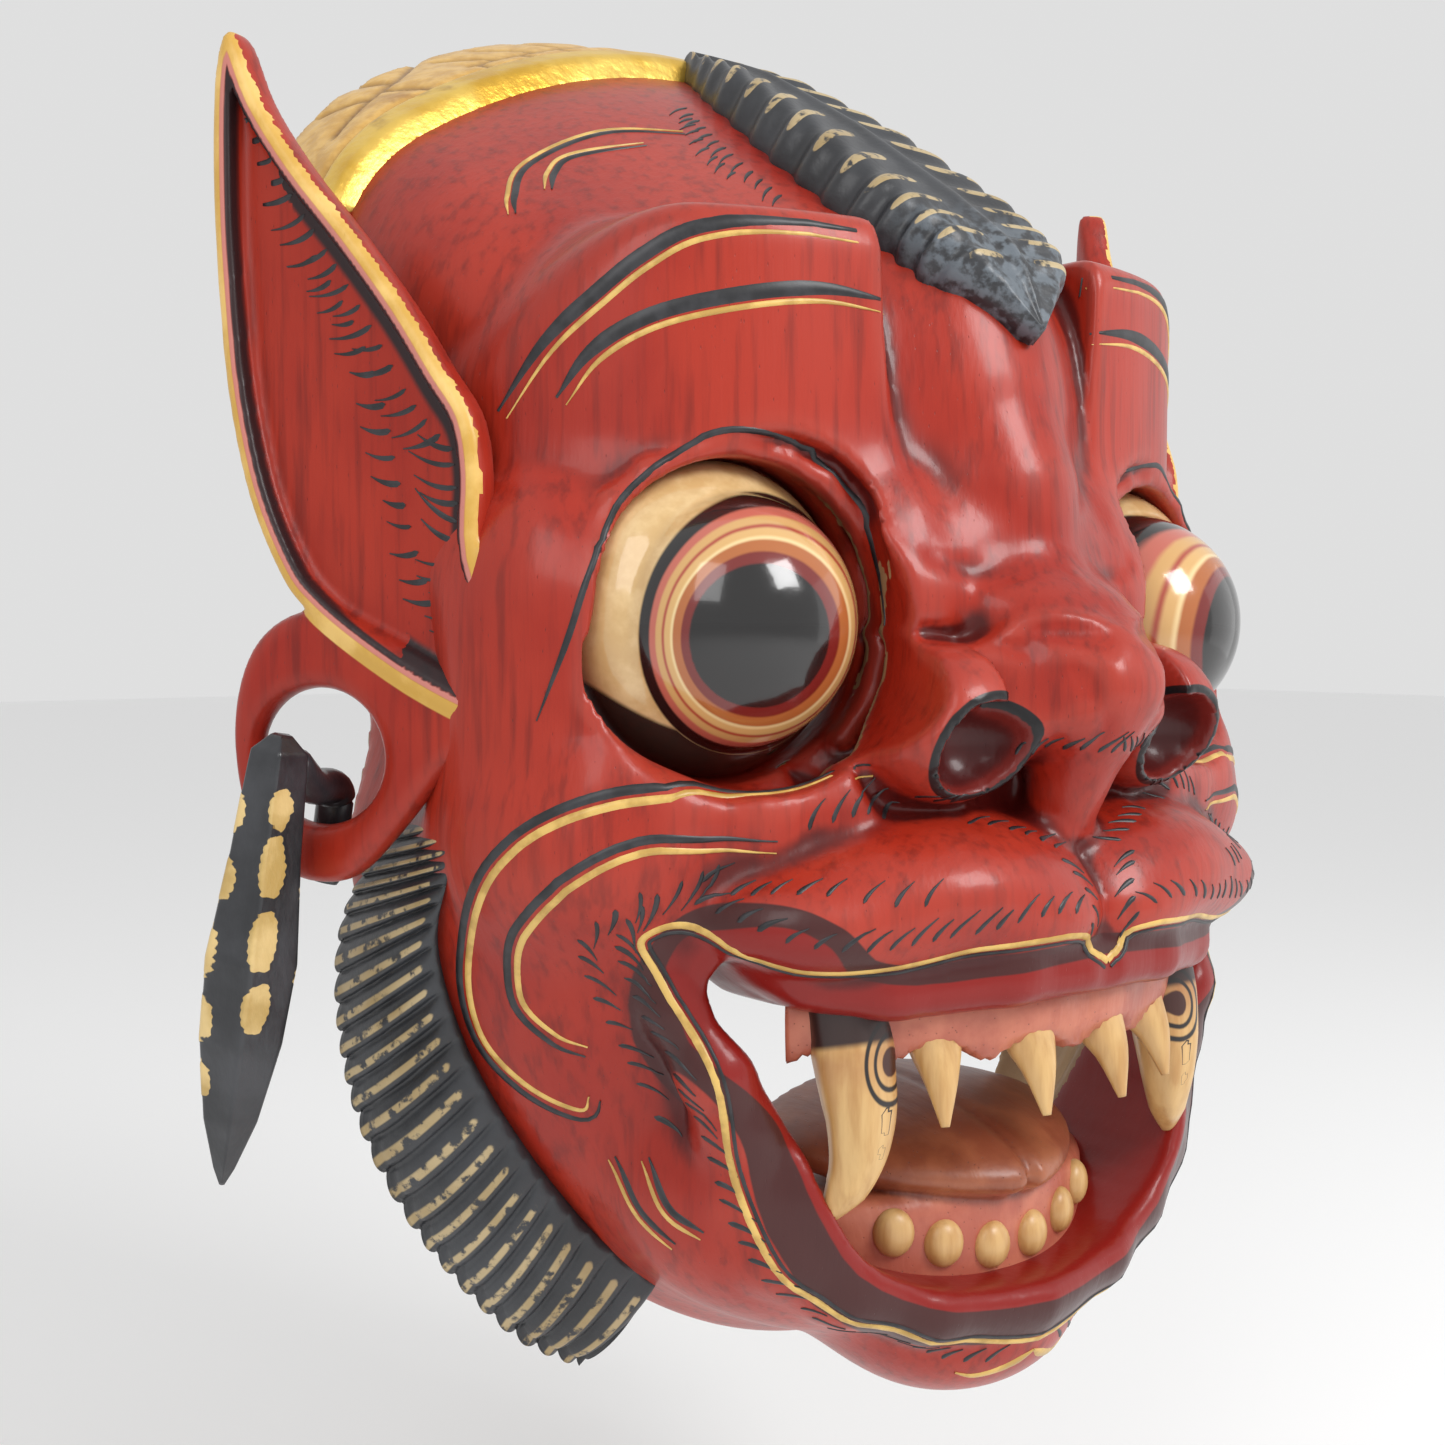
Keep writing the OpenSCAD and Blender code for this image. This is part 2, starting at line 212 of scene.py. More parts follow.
def outline_distance(points, a, b):
    """Signed distance in a plane to a closed outline, negative inside."""
    a, b = np.broadcast_arrays(a, b)
    best = np.full(a.shape, 1e6, np.float32)
    inside = np.zeros(a.shape, bool)
    for (x0, y0), (x1, y1) in zip(points, points[1:] + points[:1]):
        ex, ey = x1 - x0, y1 - y0
        wx, wy = a - x0, b - y0
        t = np.clip((wx * ex + wy * ey) / max(ex * ex + ey * ey, 1e-9), 0, 1)
        best = np.minimum(best, (wx - ex * t) ** 2 + (wy - ey * t) ** 2)
        if y0 != y1:
            crosses = (y0 > b) != (y1 > b)
            inside ^= crosses & (a < (x1 - x0) * (b - y0) / (y1 - y0) + x0)
    return np.where(inside, -1, 1) * np.sqrt(best)


def spline(points, per_span=8, closed=False):
    """A smooth line through the points, in 2 or 3 dimensions."""
    p = [np.array(q, float) for q in points]
    n = len(p)
    spans = n if closed else n - 1
    out = []
    for i in range(spans):
        a = p[(i - 1) % n] if closed or i > 0 else 2 * p[0] - p[1]
        b, c = p[i], p[(i + 1) % n]
        d = p[(i + 2) % n] if closed or i + 2 < n else 2 * p[-1] - p[-2]
        for j in range(per_span):
            t = j / per_span
            out.append(0.5 * (2 * b + (c - a) * t + (2 * a - 5 * b + 4 * c - d) * t * t
                              + (3 * b - a - 3 * c + d) * t ** 3))
    if not closed:
        out.append(p[-1])
    return [tuple(float(v) for v in q) for q in out]


CORNERS = [(i, j, k) for i in (0, 1) for j in (0, 1) for k in (0, 1)]
EDGES = [(a, b) for a in range(8) for b in range(a + 1, 8)
         if sum(u != v for u, v in zip(CORNERS[a], CORNERS[b])) == 1]


def skin(clay):
    """The surface of the clay: one vertex in each cell that the surface crosses, joined by quads."""
    d = clay.d
    inside = d < 0
    n = [s - 1 for s in d.shape]
    count = np.zeros(n, np.int8)
    for i, j, k in CORNERS:
        count += inside[i:i + n[0], j:j + n[1], k:k + n[2]]
    cells = np.argwhere((count > 0) & (count < 8))
    number = np.full(n, -1, np.int32)
    number[tuple(cells.T)] = np.arange(len(cells))
    at = np.stack([[clay.axes[m][cells[:, m] + c[m]] for m in range(3)] for c in CORNERS])
    value = np.stack([d[cells[:, 0] + i, cells[:, 1] + j, cells[:, 2] + k] for i, j, k in CORNERS])
    total = np.zeros((3, len(cells)))
    hits = np.zeros(len(cells))
    for a, b in EDGES:
        crosses = (value[a] < 0) != (value[b] < 0)
        t = np.where(crosses, value[a] / np.where(crosses, value[a] - value[b], 1), 0)
        total += np.where(crosses, at[a] + (at[b] - at[a]) * t, 0)
        hits += crosses
    verts = (total / hits).T
    quads = []
    for m in range(3):
        p, q = (m + 1) % 3, (m + 2) % 3
        first = [slice(None)] * 3
        second = [slice(None)] * 3
        first[m], second[m] = slice(None, -1), slice(1, None)
        change = inside[tuple(first)] != inside[tuple(second)]
        spots = np.argwhere(change)
        spots = spots[(spots[:, p] > 0) & (spots[:, q] > 0)
                      & (spots[:, p] < n[p]) & (spots[:, q] < n[q])]
        step_p, step_q = np.eye(3, dtype=int)[p], np.eye(3, dtype=int)[q]
        ring = [spots - step_p - step_q, spots - step_q, spots, spots - step_p]
        quad = np.stack([number[tuple(r.T)] for r in ring], axis=1)
        outward = inside[tuple(spots.T)]
        quads.append(np.where(outward[:, None], quad, quad[:, ::-1]))
    return verts, np.concatenate(quads)


def mirrored(clay):
    """The whole of a clay that holds only the side x >= 0."""
    x, y, z = clay.axes
    whole = Clay(np.concatenate([-x[:0:-1], x]), y, z)
    whole.d = np.concatenate([clay.d[:0:-1], clay.d])
    return whole


# ---------------------------------------------------------------- pieces


def make_piece(name, verts, faces, material, body="mask"):
    """A Blender object from points in millimetres, riding on a CAD body."""
    verts = np.asarray(verts, np.float64) * MM
    faces = np.asarray(faces, np.int64)
    mesh = bpy.data.meshes.new(name)
    mesh.vertices.add(len(verts))
    mesh.vertices.foreach_set("co", verts.ravel())
    corners = faces.shape[1]
    mesh.loops.add(faces.size)
    mesh.loops.foreach_set("vertex_index", faces.ravel())
    mesh.polygons.add(len(faces))
    mesh.polygons.foreach_set("loop_start", np.arange(len(faces)) * corners)
    mesh.polygons.foreach_set("loop_total", np.full(len(faces), corners))
    mesh.update(calc_edges=True)
    mesh.validate()
    mesh.shade_smooth()
    mesh.materials.append(material)
    piece = bpy.data.objects.new(name, mesh)
    bpy.context.collection.objects.link(piece)
    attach(piece, body)
    return piece


def give(piece, name, values):
    """Stores one number for each vertex, which a material reads by this name."""
    layer = piece.data.attributes.new(name, "FLOAT", "POINT")
    layer.data.foreach_set("value", np.asarray(values, np.float32))


def hollowness(verts, faces, rounds=4):
    """How deep each vertex lies in a crease: above 0 in hollows and below 0 on edges."""
    faces = np.asarray(faces)
    a = verts[faces[:, 1]] - verts[faces[:, 0]]
    b = verts[faces[:, 2]] - verts[faces[:, 0]]
    normals = np.zeros_like(verts)
    for c in range(faces.shape[1]):
        np.add.at(normals, faces[:, c], np.cross(a, b))
    normals /= np.maximum(np.linalg.norm(normals, axis=1, keepdims=True), 1e-9)
    pairs = np.concatenate([faces[:, [c, (c + 1) % faces.shape[1]]] for c in range(faces.shape[1])])
    pairs = np.concatenate([pairs, pairs[:, ::-1]])
    near = np.bincount(pairs[:, 0], minlength=len(verts)).astype(float)

    def average(values):
        return np.stack([np.bincount(pairs[:, 0], values[pairs[:, 1], m], len(verts)) / near
                         for m in range(values.shape[1])], axis=1)
    smooth = verts
    for _ in range(rounds):
        smooth = average(smooth)
    depth = np.sum((smooth - verts) * normals, axis=1)[:, None]
    for _ in range(2):
        depth = average(depth)
    return depth[:, 0]


# ---------------------------------------------------------------- the face

STEP = 1.25
BACK_LEAN = math.tan(math.radians(15.6))
# Factors that turn heights over the leaning back and the sloping crown into distances.
BACK_SLOPE = 0.963
CROWN_SLOPE = 0.84
MID_Z = -118.0
SKULL_W, JAW_W = 106.0, 110.0
SKULL_H, JAW_H = 160.0, 150.0
DEPTH = 137.0
WALL = 11.0
HOLLOW_FRONT = 106.0
BROAD_ROUNDS = 30
PINCH, PINCH_Z, PINCH_SPREAD = 14, -127, 22
EYE = (60.5, -112.0, -109.0)
EYE_RING = 41.0
EYE_AXIS = np.array([0.30, -0.945, -0.13]) / np.linalg.norm([0.30, -0.945, -0.13])

# The open mouth, seen from the front: (x, z) round the edge of one half.
MOUTH_HALF = [(0, -181), (20, -182), (42, -183.5), (58, -180), (69, -171), (68, -182), (59, -194),
              (54, -206), (51, -217), (43, -229), (29, -237), (14, -240), (0, -240.5)]


def mouth_outline():
    half = spline(MOUTH_HALF, 3)
    return half + [(-a, b) for a, b in half[::-1]]


def plain_head(x, y, z):
    """Distance-like value of the plain rounded block that the face is carved from."""
    behind = ramp(y, -90, -60) * np.exp(-((z - PINCH_Z) / PINCH_SPREAD) ** 2)
    x = np.abs(x) + PINCH * behind * ramp(np.abs(x), 50, 85)
    up = ramp(z, -105, -60)
    n = 2.1 + 1.2 * up
    w = JAW_W + (SKULL_W - JAW_W) * up
    h = np.where(z > MID_Z, SKULL_H, JAW_H)
    dz = np.abs(z - MID_Z)
    s = ((x / w) ** n + (dz / h) ** n) ** (1 / n)
    brow = ramp(z, -104, -66)
    side = x * x / np.maximum(x * x + dz * dz, 1e-3)
    m = 2 + side * (1 - brow) + 0.4 * brow
    depth = DEPTH - 10 * brow
    rim = BACK_LEAN * z
    c = np.clip((rim - y) / (depth + rim), -0.2, 3)
    value = np.where(c > 0, (s ** m + np.maximum(c, 0) ** m) ** (1 / m), s) - 1
    return value.astype(np.float32)


def crown_z(x, y):
    """Height of the sloping top of the skull."""
    front = 25.5 + 0.645 * (y + 25)
    back = 25.5 + 0.26 * (y + 25)
    return smooth_min(front, back, 14) - 16 * (np.abs(x) / 65) ** 1.9


def scaled_to_distance(clay, value):
    """Turns an implicit value into a distance by dividing it by its slope."""
    slopes = np.gradient(value, *clay.axes)
    size = np.sqrt(sum(g * g for g in slopes))
    return (value / np.maximum(size, 1e-3)).astype(np.float32)


def head_distance(clay):
    """Distance to the plain head, with the slope of the crown cut on it."""
    x, y, z = clay.everywhere()
    crown = ((z - crown_z(x, y)) * CROWN_SLOPE).astype(np.float32)
    return smooth_max(scaled_to_distance(clay, plain_head(x, y, z)), crown, 12)


def past_back(y, z):
    """Distance behind the flat sawn back."""
    return ((y - BACK_LEAN * z) * BACK_SLOPE).astype(np.float32)


def ring_bar(clay, at, normal, radius, thick, start, end, k, steps=16):
    """A round bar bent into part of a ring; angles are degrees from +X towards +Z."""
    normal = np.array(normal, float) / np.linalg.norm(normal)
    side = np.cross([0, 0, 1], normal)
    side /= np.linalg.norm(side)
    up = np.cross(normal, side)
    points = []
    for i in range(steps + 1):
        a = math.radians(start + (end - start) * i / steps)
        points.append(tuple(np.array(at) + radius * (math.cos(a) * side + math.sin(a) * up)))
    clay.tube(points, [thick] * len(points), k)


def facet(clay, direction, middle, reach, low, high):
    """Cuts the clay flat at a distance from the middle, within a box; fades out at its top."""
    d = np.array(direction, float) / np.linalg.norm(direction)

    def shape(x, y, z):
        away = (x - middle[0]) * d[0] + (y - middle[1]) * d[1] + (z - middle[2]) * d[2]
        return reach - away + 12 * ramp(z, high[2] - 14, high[2])
    clay.carve(low, high, shape, 0.8)


NOSTRIL_AT = (28.5, -152.0, -133.0)
NOSTRIL_RADII = (10.5, 13.0, 9.5)


def sculpt_head():
    """The carved head as a clay of its side x >= 0, hollow and sawn flat behind."""
    xs = np.arange(0, 124, STEP)
    ys = np.concatenate([np.arange(-172, -60, STEP), np.arange(-60, 16, 1.6 * STEP)])
    zs = np.arange(-276, 42, STEP)
    clay = Clay(xs, ys, zs)
    plain = head_distance(clay)
    clay.d = plain.copy()

    # Chin, a boat-shaped keel under the lower lip.
    clay.ball((0, -100, -218), (76, 47, 40), 8)
    clay.ball((0, -112, -249), (30, 27, 21), 10)

    # The strip between the brows, and the root of the nose.
    clay.ball((0, -104, -66), (31, 30, 42), 6)
    clay.tube([(0, -116, -70), (0, -124, -84), (0, -128, -100)], [17, 15, 14], 8)
    clay.ball((24, -124, -103), (15, 13, 11), 7)
    clay.tube([(24, -122, -90), (14, -125, -95), (0, -128, -98)], [8, 8, 8], 8)

    # Brows stand proud of the skull and of the strip between them.
    def brow(x, y, z):
        front = -y - 126 * np.cbrt(np.maximum(1 - (x / 106) ** 3, 0))
        front = front * np.minimum(1, 0.35 + 0.65 * ramp(x, 106, 60))
        top = (z - (-31 - 0.03 * np.maximum(x - 65, 0) ** 2)) * 0.9
        block = smooth_max(smooth_max(front, top, 7), np.maximum(-z - 104, x - 101), 4)
        return smooth_max(block, 29.5 - x + 0.06 * (z + 60), 2)
    clay.add((26, -150, -108), (112, -60, -14), brow, 3)

    # Deep socket round each eye, cut as an arch under the brow.
    clay.ball((59.5, -122, -109), (37, 13, 36.5), 1.5, carve=True)
    clay.ball((61, -122, -113), (35, 15, 33.5), 2, carve=True)

    # Rounded edge of the socket beside the nose.
    clay.tube([(31, -119, -80), (27, -125, -92), (26, -129, -105), (33, -131, -119)],
              [3.5, 4.5, 5, 5], 6)

    # Temple in front of the ear's root.
    clay.ball((89, -92, -101), (10.5, 13, 16), 8)

    # Cheek under the eye, with the rim of the lower lid.
    cheek = [(92, -101, -132), (86, -110, -138), (76, -117, -144), (60, -123, -146.5),
             (46, -128, -145), (38, -131, -138)]
    clay.tube(cheek, [2.5, 4.5, 5.5, 5.5, 5, 4], 7)
    clay.ball((78, -92, -152), (27, 30, 22), 8)

    # Muzzle: two lobes with a groove between them.
    clay.ball((24, -129, -160), (34, 28, 16), 5)
    clay.ball((44, -124, -164), (30, 25, 13.5), 6)
    clay.ball((12, -129, -165), (24, 29, 12), 6)
    # Lips: a bar round the mouth.
    upper = [(0, -149, -176), (20, -147, -175.5), (42, -138, -177), (56, -128, -176.5),
             (67, -119, -171), (75, -111, -168)]
    clay.tube(upper, [7.4, 7.4, 7, 6.5, 6, 5.5], 3)
    lower = [(75, -111, -168), (73, -115, -180), (68, -120, -192), (62.5, -120, -204),
             (60, -118, -216), (54, -121, -227), (41, -126, -236), (24, -131, -242),
             (0, -135.5, -244)]
    clay.tube(lower, [5.5, 6, 7, 7.5, 8, 8, 8, 8, 8], 4)

    # Nose: ball, bridge and flared wings with deep nostrils.
    clay.ball((0, -143, -121), (22, 21, 15.5), 4)
    clay.ball((9, -147, -118), (14, 13, 11), 5)
    clay.ball((0, -136, -106), (20, 15, 9), 6)
    clay.ball((27.5, -139, -128), (18.5, 16, 15), 4)
    clay.tube([(0, -148, -130), (0, -143, -146)], [10, 7], 5)
    clay.ball(NOSTRIL_AT, NOSTRIL_RADII, 1.5, carve=True)
    # Flat cuts of the chisel on the tip of the nose.
    low, high = (0, -172, -140), (24, -130, -98)
    for direction, reach in (((0.1, -1, 0.35), 20.5), ((0.75, -0.75, 0.1), 19),
                             ((0.45, -0.7, 0.75), 17.5)):
        facet(clay, direction, (0, -143, -121), reach, low, high)
    # Groove down the middle of the muzzle.
    clay.tube([(0, -162, -150), (0, -160, -166), (0, -158, -177)], [2.4, 3.2, 2.4], 3, carve=True)

    # The mouth, cut right through.
    cut, x, _, z = clay.part((0, -175, -250), (84, -30, -160))
    hole = outline_distance(mouth_outline(), x[:, 0, :], z[0, 0][None, :])[:, None, :]
    clay.d[cut] = smooth_max(clay.d[cut], -hole, 4)

    # Hollow behind, with a thick ring of wood left round each eye, and the flat sawn back.
    x, y, z = clay.everywhere()
    housing = EYE_RING - np.sqrt((x - 56) ** 2 + (y + 97) ** 2 + (z + 109) ** 2)
    hollow = smooth_max(smooth_max(plain + WALL, housing, 3), -(y + HOLLOW_FRONT), 3)
    clay.d = smooth_max(clay.d, -hollow, 4)
    clay.d = smooth_max(clay.d, past_back(y, z), 1.5)

    # Rim of the upper lid, the seat of the eyeball and the slot to look out under it.
    ring_bar(clay, (58, -112, -109.5), (0.26, -0.96, -0.06), 32.6, 2.9, -40, 222, 1.5)

    def seat(x, y, z):
        u = x - 58 + 0.25 * (y + 111)
        v = z + 109 - 0.05 * (y + 111)
        across = np.sqrt(u * u + v * v)
        return smooth_min(smooth_max(across - 30.8, y + 105, 3), across - 24, 0)
    clay.carve((20, -175, -145), (100, -60, -70), seat, 1)

    def slot(x, y, z):
        u = (x - 60 + 0.2 * (y + 111)) / 31
        v = (z + 117) / 21.5
        k = np.sqrt(u * u + v * v)
        return (k - 1) * 21.5
    clay.carve((20, -175, -145), (100, -60, -100), slot, 1)
    return clay


# Folds pressed into the front of the face on both sides: (x, z) points, width and depth.
FOLDS = [([(28, -97), (17, -100), (3, -100)], 2.6, 0.8),
         ([(41, -112), (30, -111), (18, -114)], 1.8, 1.8),
         ([(44, -119), (46.5, -132), (40, -143), (25, -146)], 1.9, 1.8),
         ([(12, -118), (6, -131), (11, -137)], 1.6, 0.7)]


def line_gap(points, per_span, a, b):
    """Distance in a plane from the places (a, b) to a smooth line through the points."""
    path = spline(points, per_span)
    near = np.full(len(a), 99.0)
    for p, q in zip(path, path[1:]):
        d = np.array(q) - np.array(p)
        t = np.clip(((a - p[0]) * d[0] + (b - p[1]) * d[1]) / (d @ d), 0, 1)
        near = np.minimum(near, np.hypot(a - p[0] - t * d[0], b - p[1] - t * d[1]))
    return near


def press_folds(verts):
    """Moves the points under each fold back into the wood."""
    front = verts[:, 1] < -112
    for points, wide, deep in FOLDS:
        near = line_gap(points, 6, np.abs(verts[:, 0]), verts[:, 2])
        verts[:, 1] += front * deep * np.exp(-(near / wide) ** 2)
    return verts


def make_face(material):
    verts, faces = skin(mirrored(sculpt_head()))
    verts = press_folds(verts)
    face = make_piece("face_wood", verts, faces, material)
    # The hollow value, from fine and broad creases, sets where painted shade darkens the face and where its
    # edges are lighter.
    give(face, "hollow", hollowness(verts, faces) + 0.12 * hollowness(verts, faces, BROAD_ROUNDS))
    x, y, z = verts.T
    # Red paint reaches lip_near millimetres out from the edge of the mouth, with plum beyond it.
    lip = outline_distance(mouth_outline(), x, z)
    give(face, "lip", np.where(ramp(y, -92, -104) > 0.5, lip, 50))
    give(face, "lip_near", 8.2 - 4.7 * ramp(z, -188, -205))
    off = (np.stack([np.abs(x), y, z], axis=1) - NOSTRIL_AT) / NOSTRIL_RADII
    give(face, "nostril", 10 * (np.linalg.norm(off, axis=1) - 1))
    # Bare wood in the hollow and on the sawn back.
    normals = np.zeros(len(verts) * 3, np.float32)
    face.data.vertices.foreach_get("normal", normals)
    backward = normals.reshape(-1, 3)[:, 1] > 0.3
    behind = (plain_head(x, y, z) < -0.045) & (z < crown_z(x, y) - 7)
    on_back = np.abs(y - BACK_LEAN * z) < 0.8
    give(face, "inside", (behind & (backward | (y > -88))) | on_back)
    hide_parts("face_shell")
    return verts, faces


# ---------------------------------------------------------------- other pieces


def swept(rings):
    """Quads over rings of points, each ring closed; the ends are drawn in to their middles."""
    rings = [np.asarray(r, float) for r in rings]
    first, last = rings[0], rings[-1]
    rings = [first.mean(0) + 0.02 * (first - first.mean(0))] + rings
    rings = rings + [last.mean(0) + 0.02 * (last - last.mean(0))]
    rows, count = len(rings), len(rings[0])
    verts = np.concatenate(rings)
    faces = []
    for i in range(rows - 1):
        for j in range(count):
            a, b = i * count + j, i * count + (j + 1) % count
            faces.append((a, b, b + count, a + count))
    return verts, np.array(faces)


def with_ends(values, count):
    """Values for the points of swept rings, repeated for the two end rings."""
    return np.array(values[:count] + values + values[-count:])


def along_path(path, t):
    """The place at a fraction t of a line of points, and the step of the span that it is in."""
    k = t * (len(path) - 1)
    i = min(int(k), len(path) - 2)
    p, q = np.array(path[i]), np.array(path[i + 1])
    return p + (q - p) * (k - i), q - p


def facing_out(verts, faces):
    """Turns all faces over if the closed shape came out inside out."""
    a, b, c = (verts[faces[:, i]] for i in range(3))
    d = verts[faces[:, 3]]
    volume = np.sum(a * np.cross(b, c)) + np.sum(a * np.cross(c, d))
    return faces if volume > 0 else faces[:, ::-1]


# The mask's own right side is at -X.
SIDES = ((-1, "right"), (1, "left"))


def flip_x(verts, faces, side):
    """Points modelled on the side x > 0, moved to the side asked for."""
    if side > 0:
        return verts, faces
    return verts * np.array([-1.0, 1, 1]), faces[:, ::-1]


def dress(name, verts, faces, material, node):
    """A piece of the mask's own body that stands for one CAD node."""
    faces = facing_out(verts, faces)
    piece = make_piece(name, verts, faces, material)
    give(piece, "hollow", hollowness(verts, faces))
    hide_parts(node)
    return piece


# Eyeballs: a flattened white ball with the round painted dome standing out of it.

DOME_AT = (58.6, -112.0, -109.0)
DOME_R = 24.4
WHITE_AT = (57.5, -104.5, -108.5)
WHITE_RADII = (30.6, 18, 30.6)
PUPIL_R = 13.0
# How far a ring's middle moves towards the nose for each millimetre of radius past the pupil's.
RING_DRIFT = 0.42


def make_eyes(material):
    step = 0.85
    clay = Clay(np.arange(24, 92, step), np.arange(-140, -82, step), np.arange(-144, -74, step))
    clay.ball(WHITE_AT, WHITE_RADII)
    clay.ball(DOME_AT, (DOME_R, DOME_R, DOME_R), 0.8)
    verts, faces = skin(clay)
    off = verts - np.array(EYE)
    along = off @ EYE_AXIS
    across = np.linalg.norm(off - along[:, None] * EYE_AXIS, axis=1)
    # The rings are not concentric: the wider ones sit nearer the nose.
    sideways = np.array([-1.0, 0, 0]) + EYE_AXIS[0] * EYE_AXIS
    sideways /= np.linalg.norm(sideways)
    reach = off @ sideways + PUPIL_R * RING_DRIFT
    rise = across ** 2 - (off @ sideways) ** 2
    spread = 1 - RING_DRIFT ** 2
    drifted = (np.sqrt((RING_DRIFT * reach) ** 2 + spread * (reach ** 2 + rise))
               - RING_DRIFT * reach) / spread
    drifted = np.where(across < PUPIL_R, across, drifted)
    ring = np.where(along > -8, drifted, 2 * DOME_R)

    for side, word in SIDES:
        v, f = flip_x(verts, faces, side)
        eye = dress("eyeball_" + word, v, f, material, "eye_" + word)
        give(eye, "ring", ring)
        give(eye, "below", EYE[2] - v[:, 2])


# Ears: a dished blade with a raised rim, and a round lobe with an opening.

EAR_BASE = np.array([98.0, -100.0, -127.0])
EAR_OUT = np.array([0.4848, 0.8746, 0.0])
EAR_IN = np.array([-0.8746, 0.4848, 0.0])
EAR_T = 8.0
RIM_WIDTH, DISH_DEPTH = 4.6, 4.6
LOBE_MID, LOBE_HALF, ROOT_HALF = 4.6, 3.6, 3.9
HOLE_RADII = (14.6, 13.2)
BLADE = [(-4, 4), (1, 13), (8, 30), (8, 45), (10, 56), (16, 65), (24, 77), (35, 91), (47, 105),
         (56, 118), (61, 129.5), (64.5, 131), (67, 121), (67.5, 100), (66.5, 80), (64.5, 61),
         (60, 42), (53, 27), (47, 20), (36, 12), (20, 3), (5, -2)]
LOBE = [(40, 20), (50, 20), (58, 16), (63, 9), (65.5, -1), (65, -12), (62, -22), (56, -29.5),
        (48, -32.5), (38, -31), (28, -22), (16, -9), (6, -5), (0, 0), (14, 8)]
LOBE_HOLE = (45.5, -8)
ROOT = [(-4, -2), (-4, 24), (-2, 31), (3, 33), (8.5, 32), (9.5, 29), (8, 24), (4, 13), (2, 0)]


def from_ear(verts):
    """Points (out along the blade, up, in through it) to points of the mask's left side."""
    v = np.asarray(verts)
    return (EAR_BASE + v[:, :1] * EAR_OUT + v[:, 1:2] * np.array([0, 0, 1.0])
            + v[:, 2:] * EAR_IN)


def make_ears(material):
    step = 0.95
    clay = Clay(np.arange(-9, 72, step), np.arange(-37, 136, step), np.arange(-3, 12, step))
    u, v, w = clay.everywhere()
    blade_line = spline(BLADE, 4, closed=True)
    blade, lobe, root = (outline_distance(line, u[:, :, 0], v[:, :, 0])[:, :, None]
                         for line in (blade_line, spline(LOBE, 4, closed=True), ROOT))
    hole = np.hypot((u - LOBE_HOLE[0]) / HOLE_RADII[0], (v - LOBE_HOLE[1]) / HOLE_RADII[1])
    hole = (1 - hole) * 13.6
    slab = np.abs(w - EAR_T / 2) - EAR_T / 2
    dish = smooth_max(blade + RIM_WIDTH, w - DISH_DEPTH, 2)
    ring = smooth_max(smooth_max(lobe, hole, 3), np.abs(w - LOBE_MID) - LOBE_HALF, 4)
    stem = smooth_max(root, np.abs(w - LOBE_MID) - ROOT_HALF, 3)
    clay.d = smooth_max(smooth_max(blade, slab, 3), -dish, 1.2)
    clay.d = smooth_min(smooth_min(clay.d, ring, 1.2), stem, 1.5)
    local, faces = skin(clay)
    verts = from_ear(local)
    edge = outline_distance(blade_line, local[:, 0], local[:, 1])
    front = ramp(local[:, 2], 6.5, 4.5)
    # The black line inside the gold rim is wider on the side next to the head.
    middle = np.interp(local[:, 1], [0, 20, 50, 80, 110, 130], [20, 29, 36, 45, 57, 62])
    inner = local[:, 0] < middle
    painted = np.where(inner & (edge < -3.8), -3.8 + 0.22 * (edge + 3.8), edge)
    painted = np.where(inner & (edge > -0.8) & (local[:, 2] > 2.2), 20, painted)

    for side, word in SIDES:
        v, f = flip_x(verts, faces, side)
        ear = dress("carved_ear_" + word, v, f, material, "ear_" + word)
        give(ear, "blade", np.where(front > 0.2, painted, 20))
    return verts, faces


# Earrings: faceted black drops on a hook through the lobe, with patches of gold leaf.

DROP_LEAN = math.radians(10)
HOOK_AT = (46.0, -8.0)
DROP = [(5, 2), (2, 5.2), (-3, 5.6), (-18, 6.5), (-38, 8.4), (-54, 7.6), (-70, 5), (-80, 2),
        (-83.5, 0.5)]
LEAVES = [(0.9, -10, 0.5, 5), (0.85, -23, 0.55, 5), (0.9, -37, 0.5, 6), (0.8, -50, 0.5, 5),
          (0.85, -62, 0.55, 4), (-1.0, -8, 0.45, 4), (-0.95, -19, 0.45, 6), (-0.9, -33, 0.4, 6),
          (-0.95, -46, 0.4, 5), (2.4, -16, 0.5, 5), (2.4, -32, 0.5, 6), (2.4, -48, 0.5, 5),
          (-2.4, -24, 0.5, 5), (-2.4, -41, 0.5, 6), (-2.4, -56, 0.5, 4)]


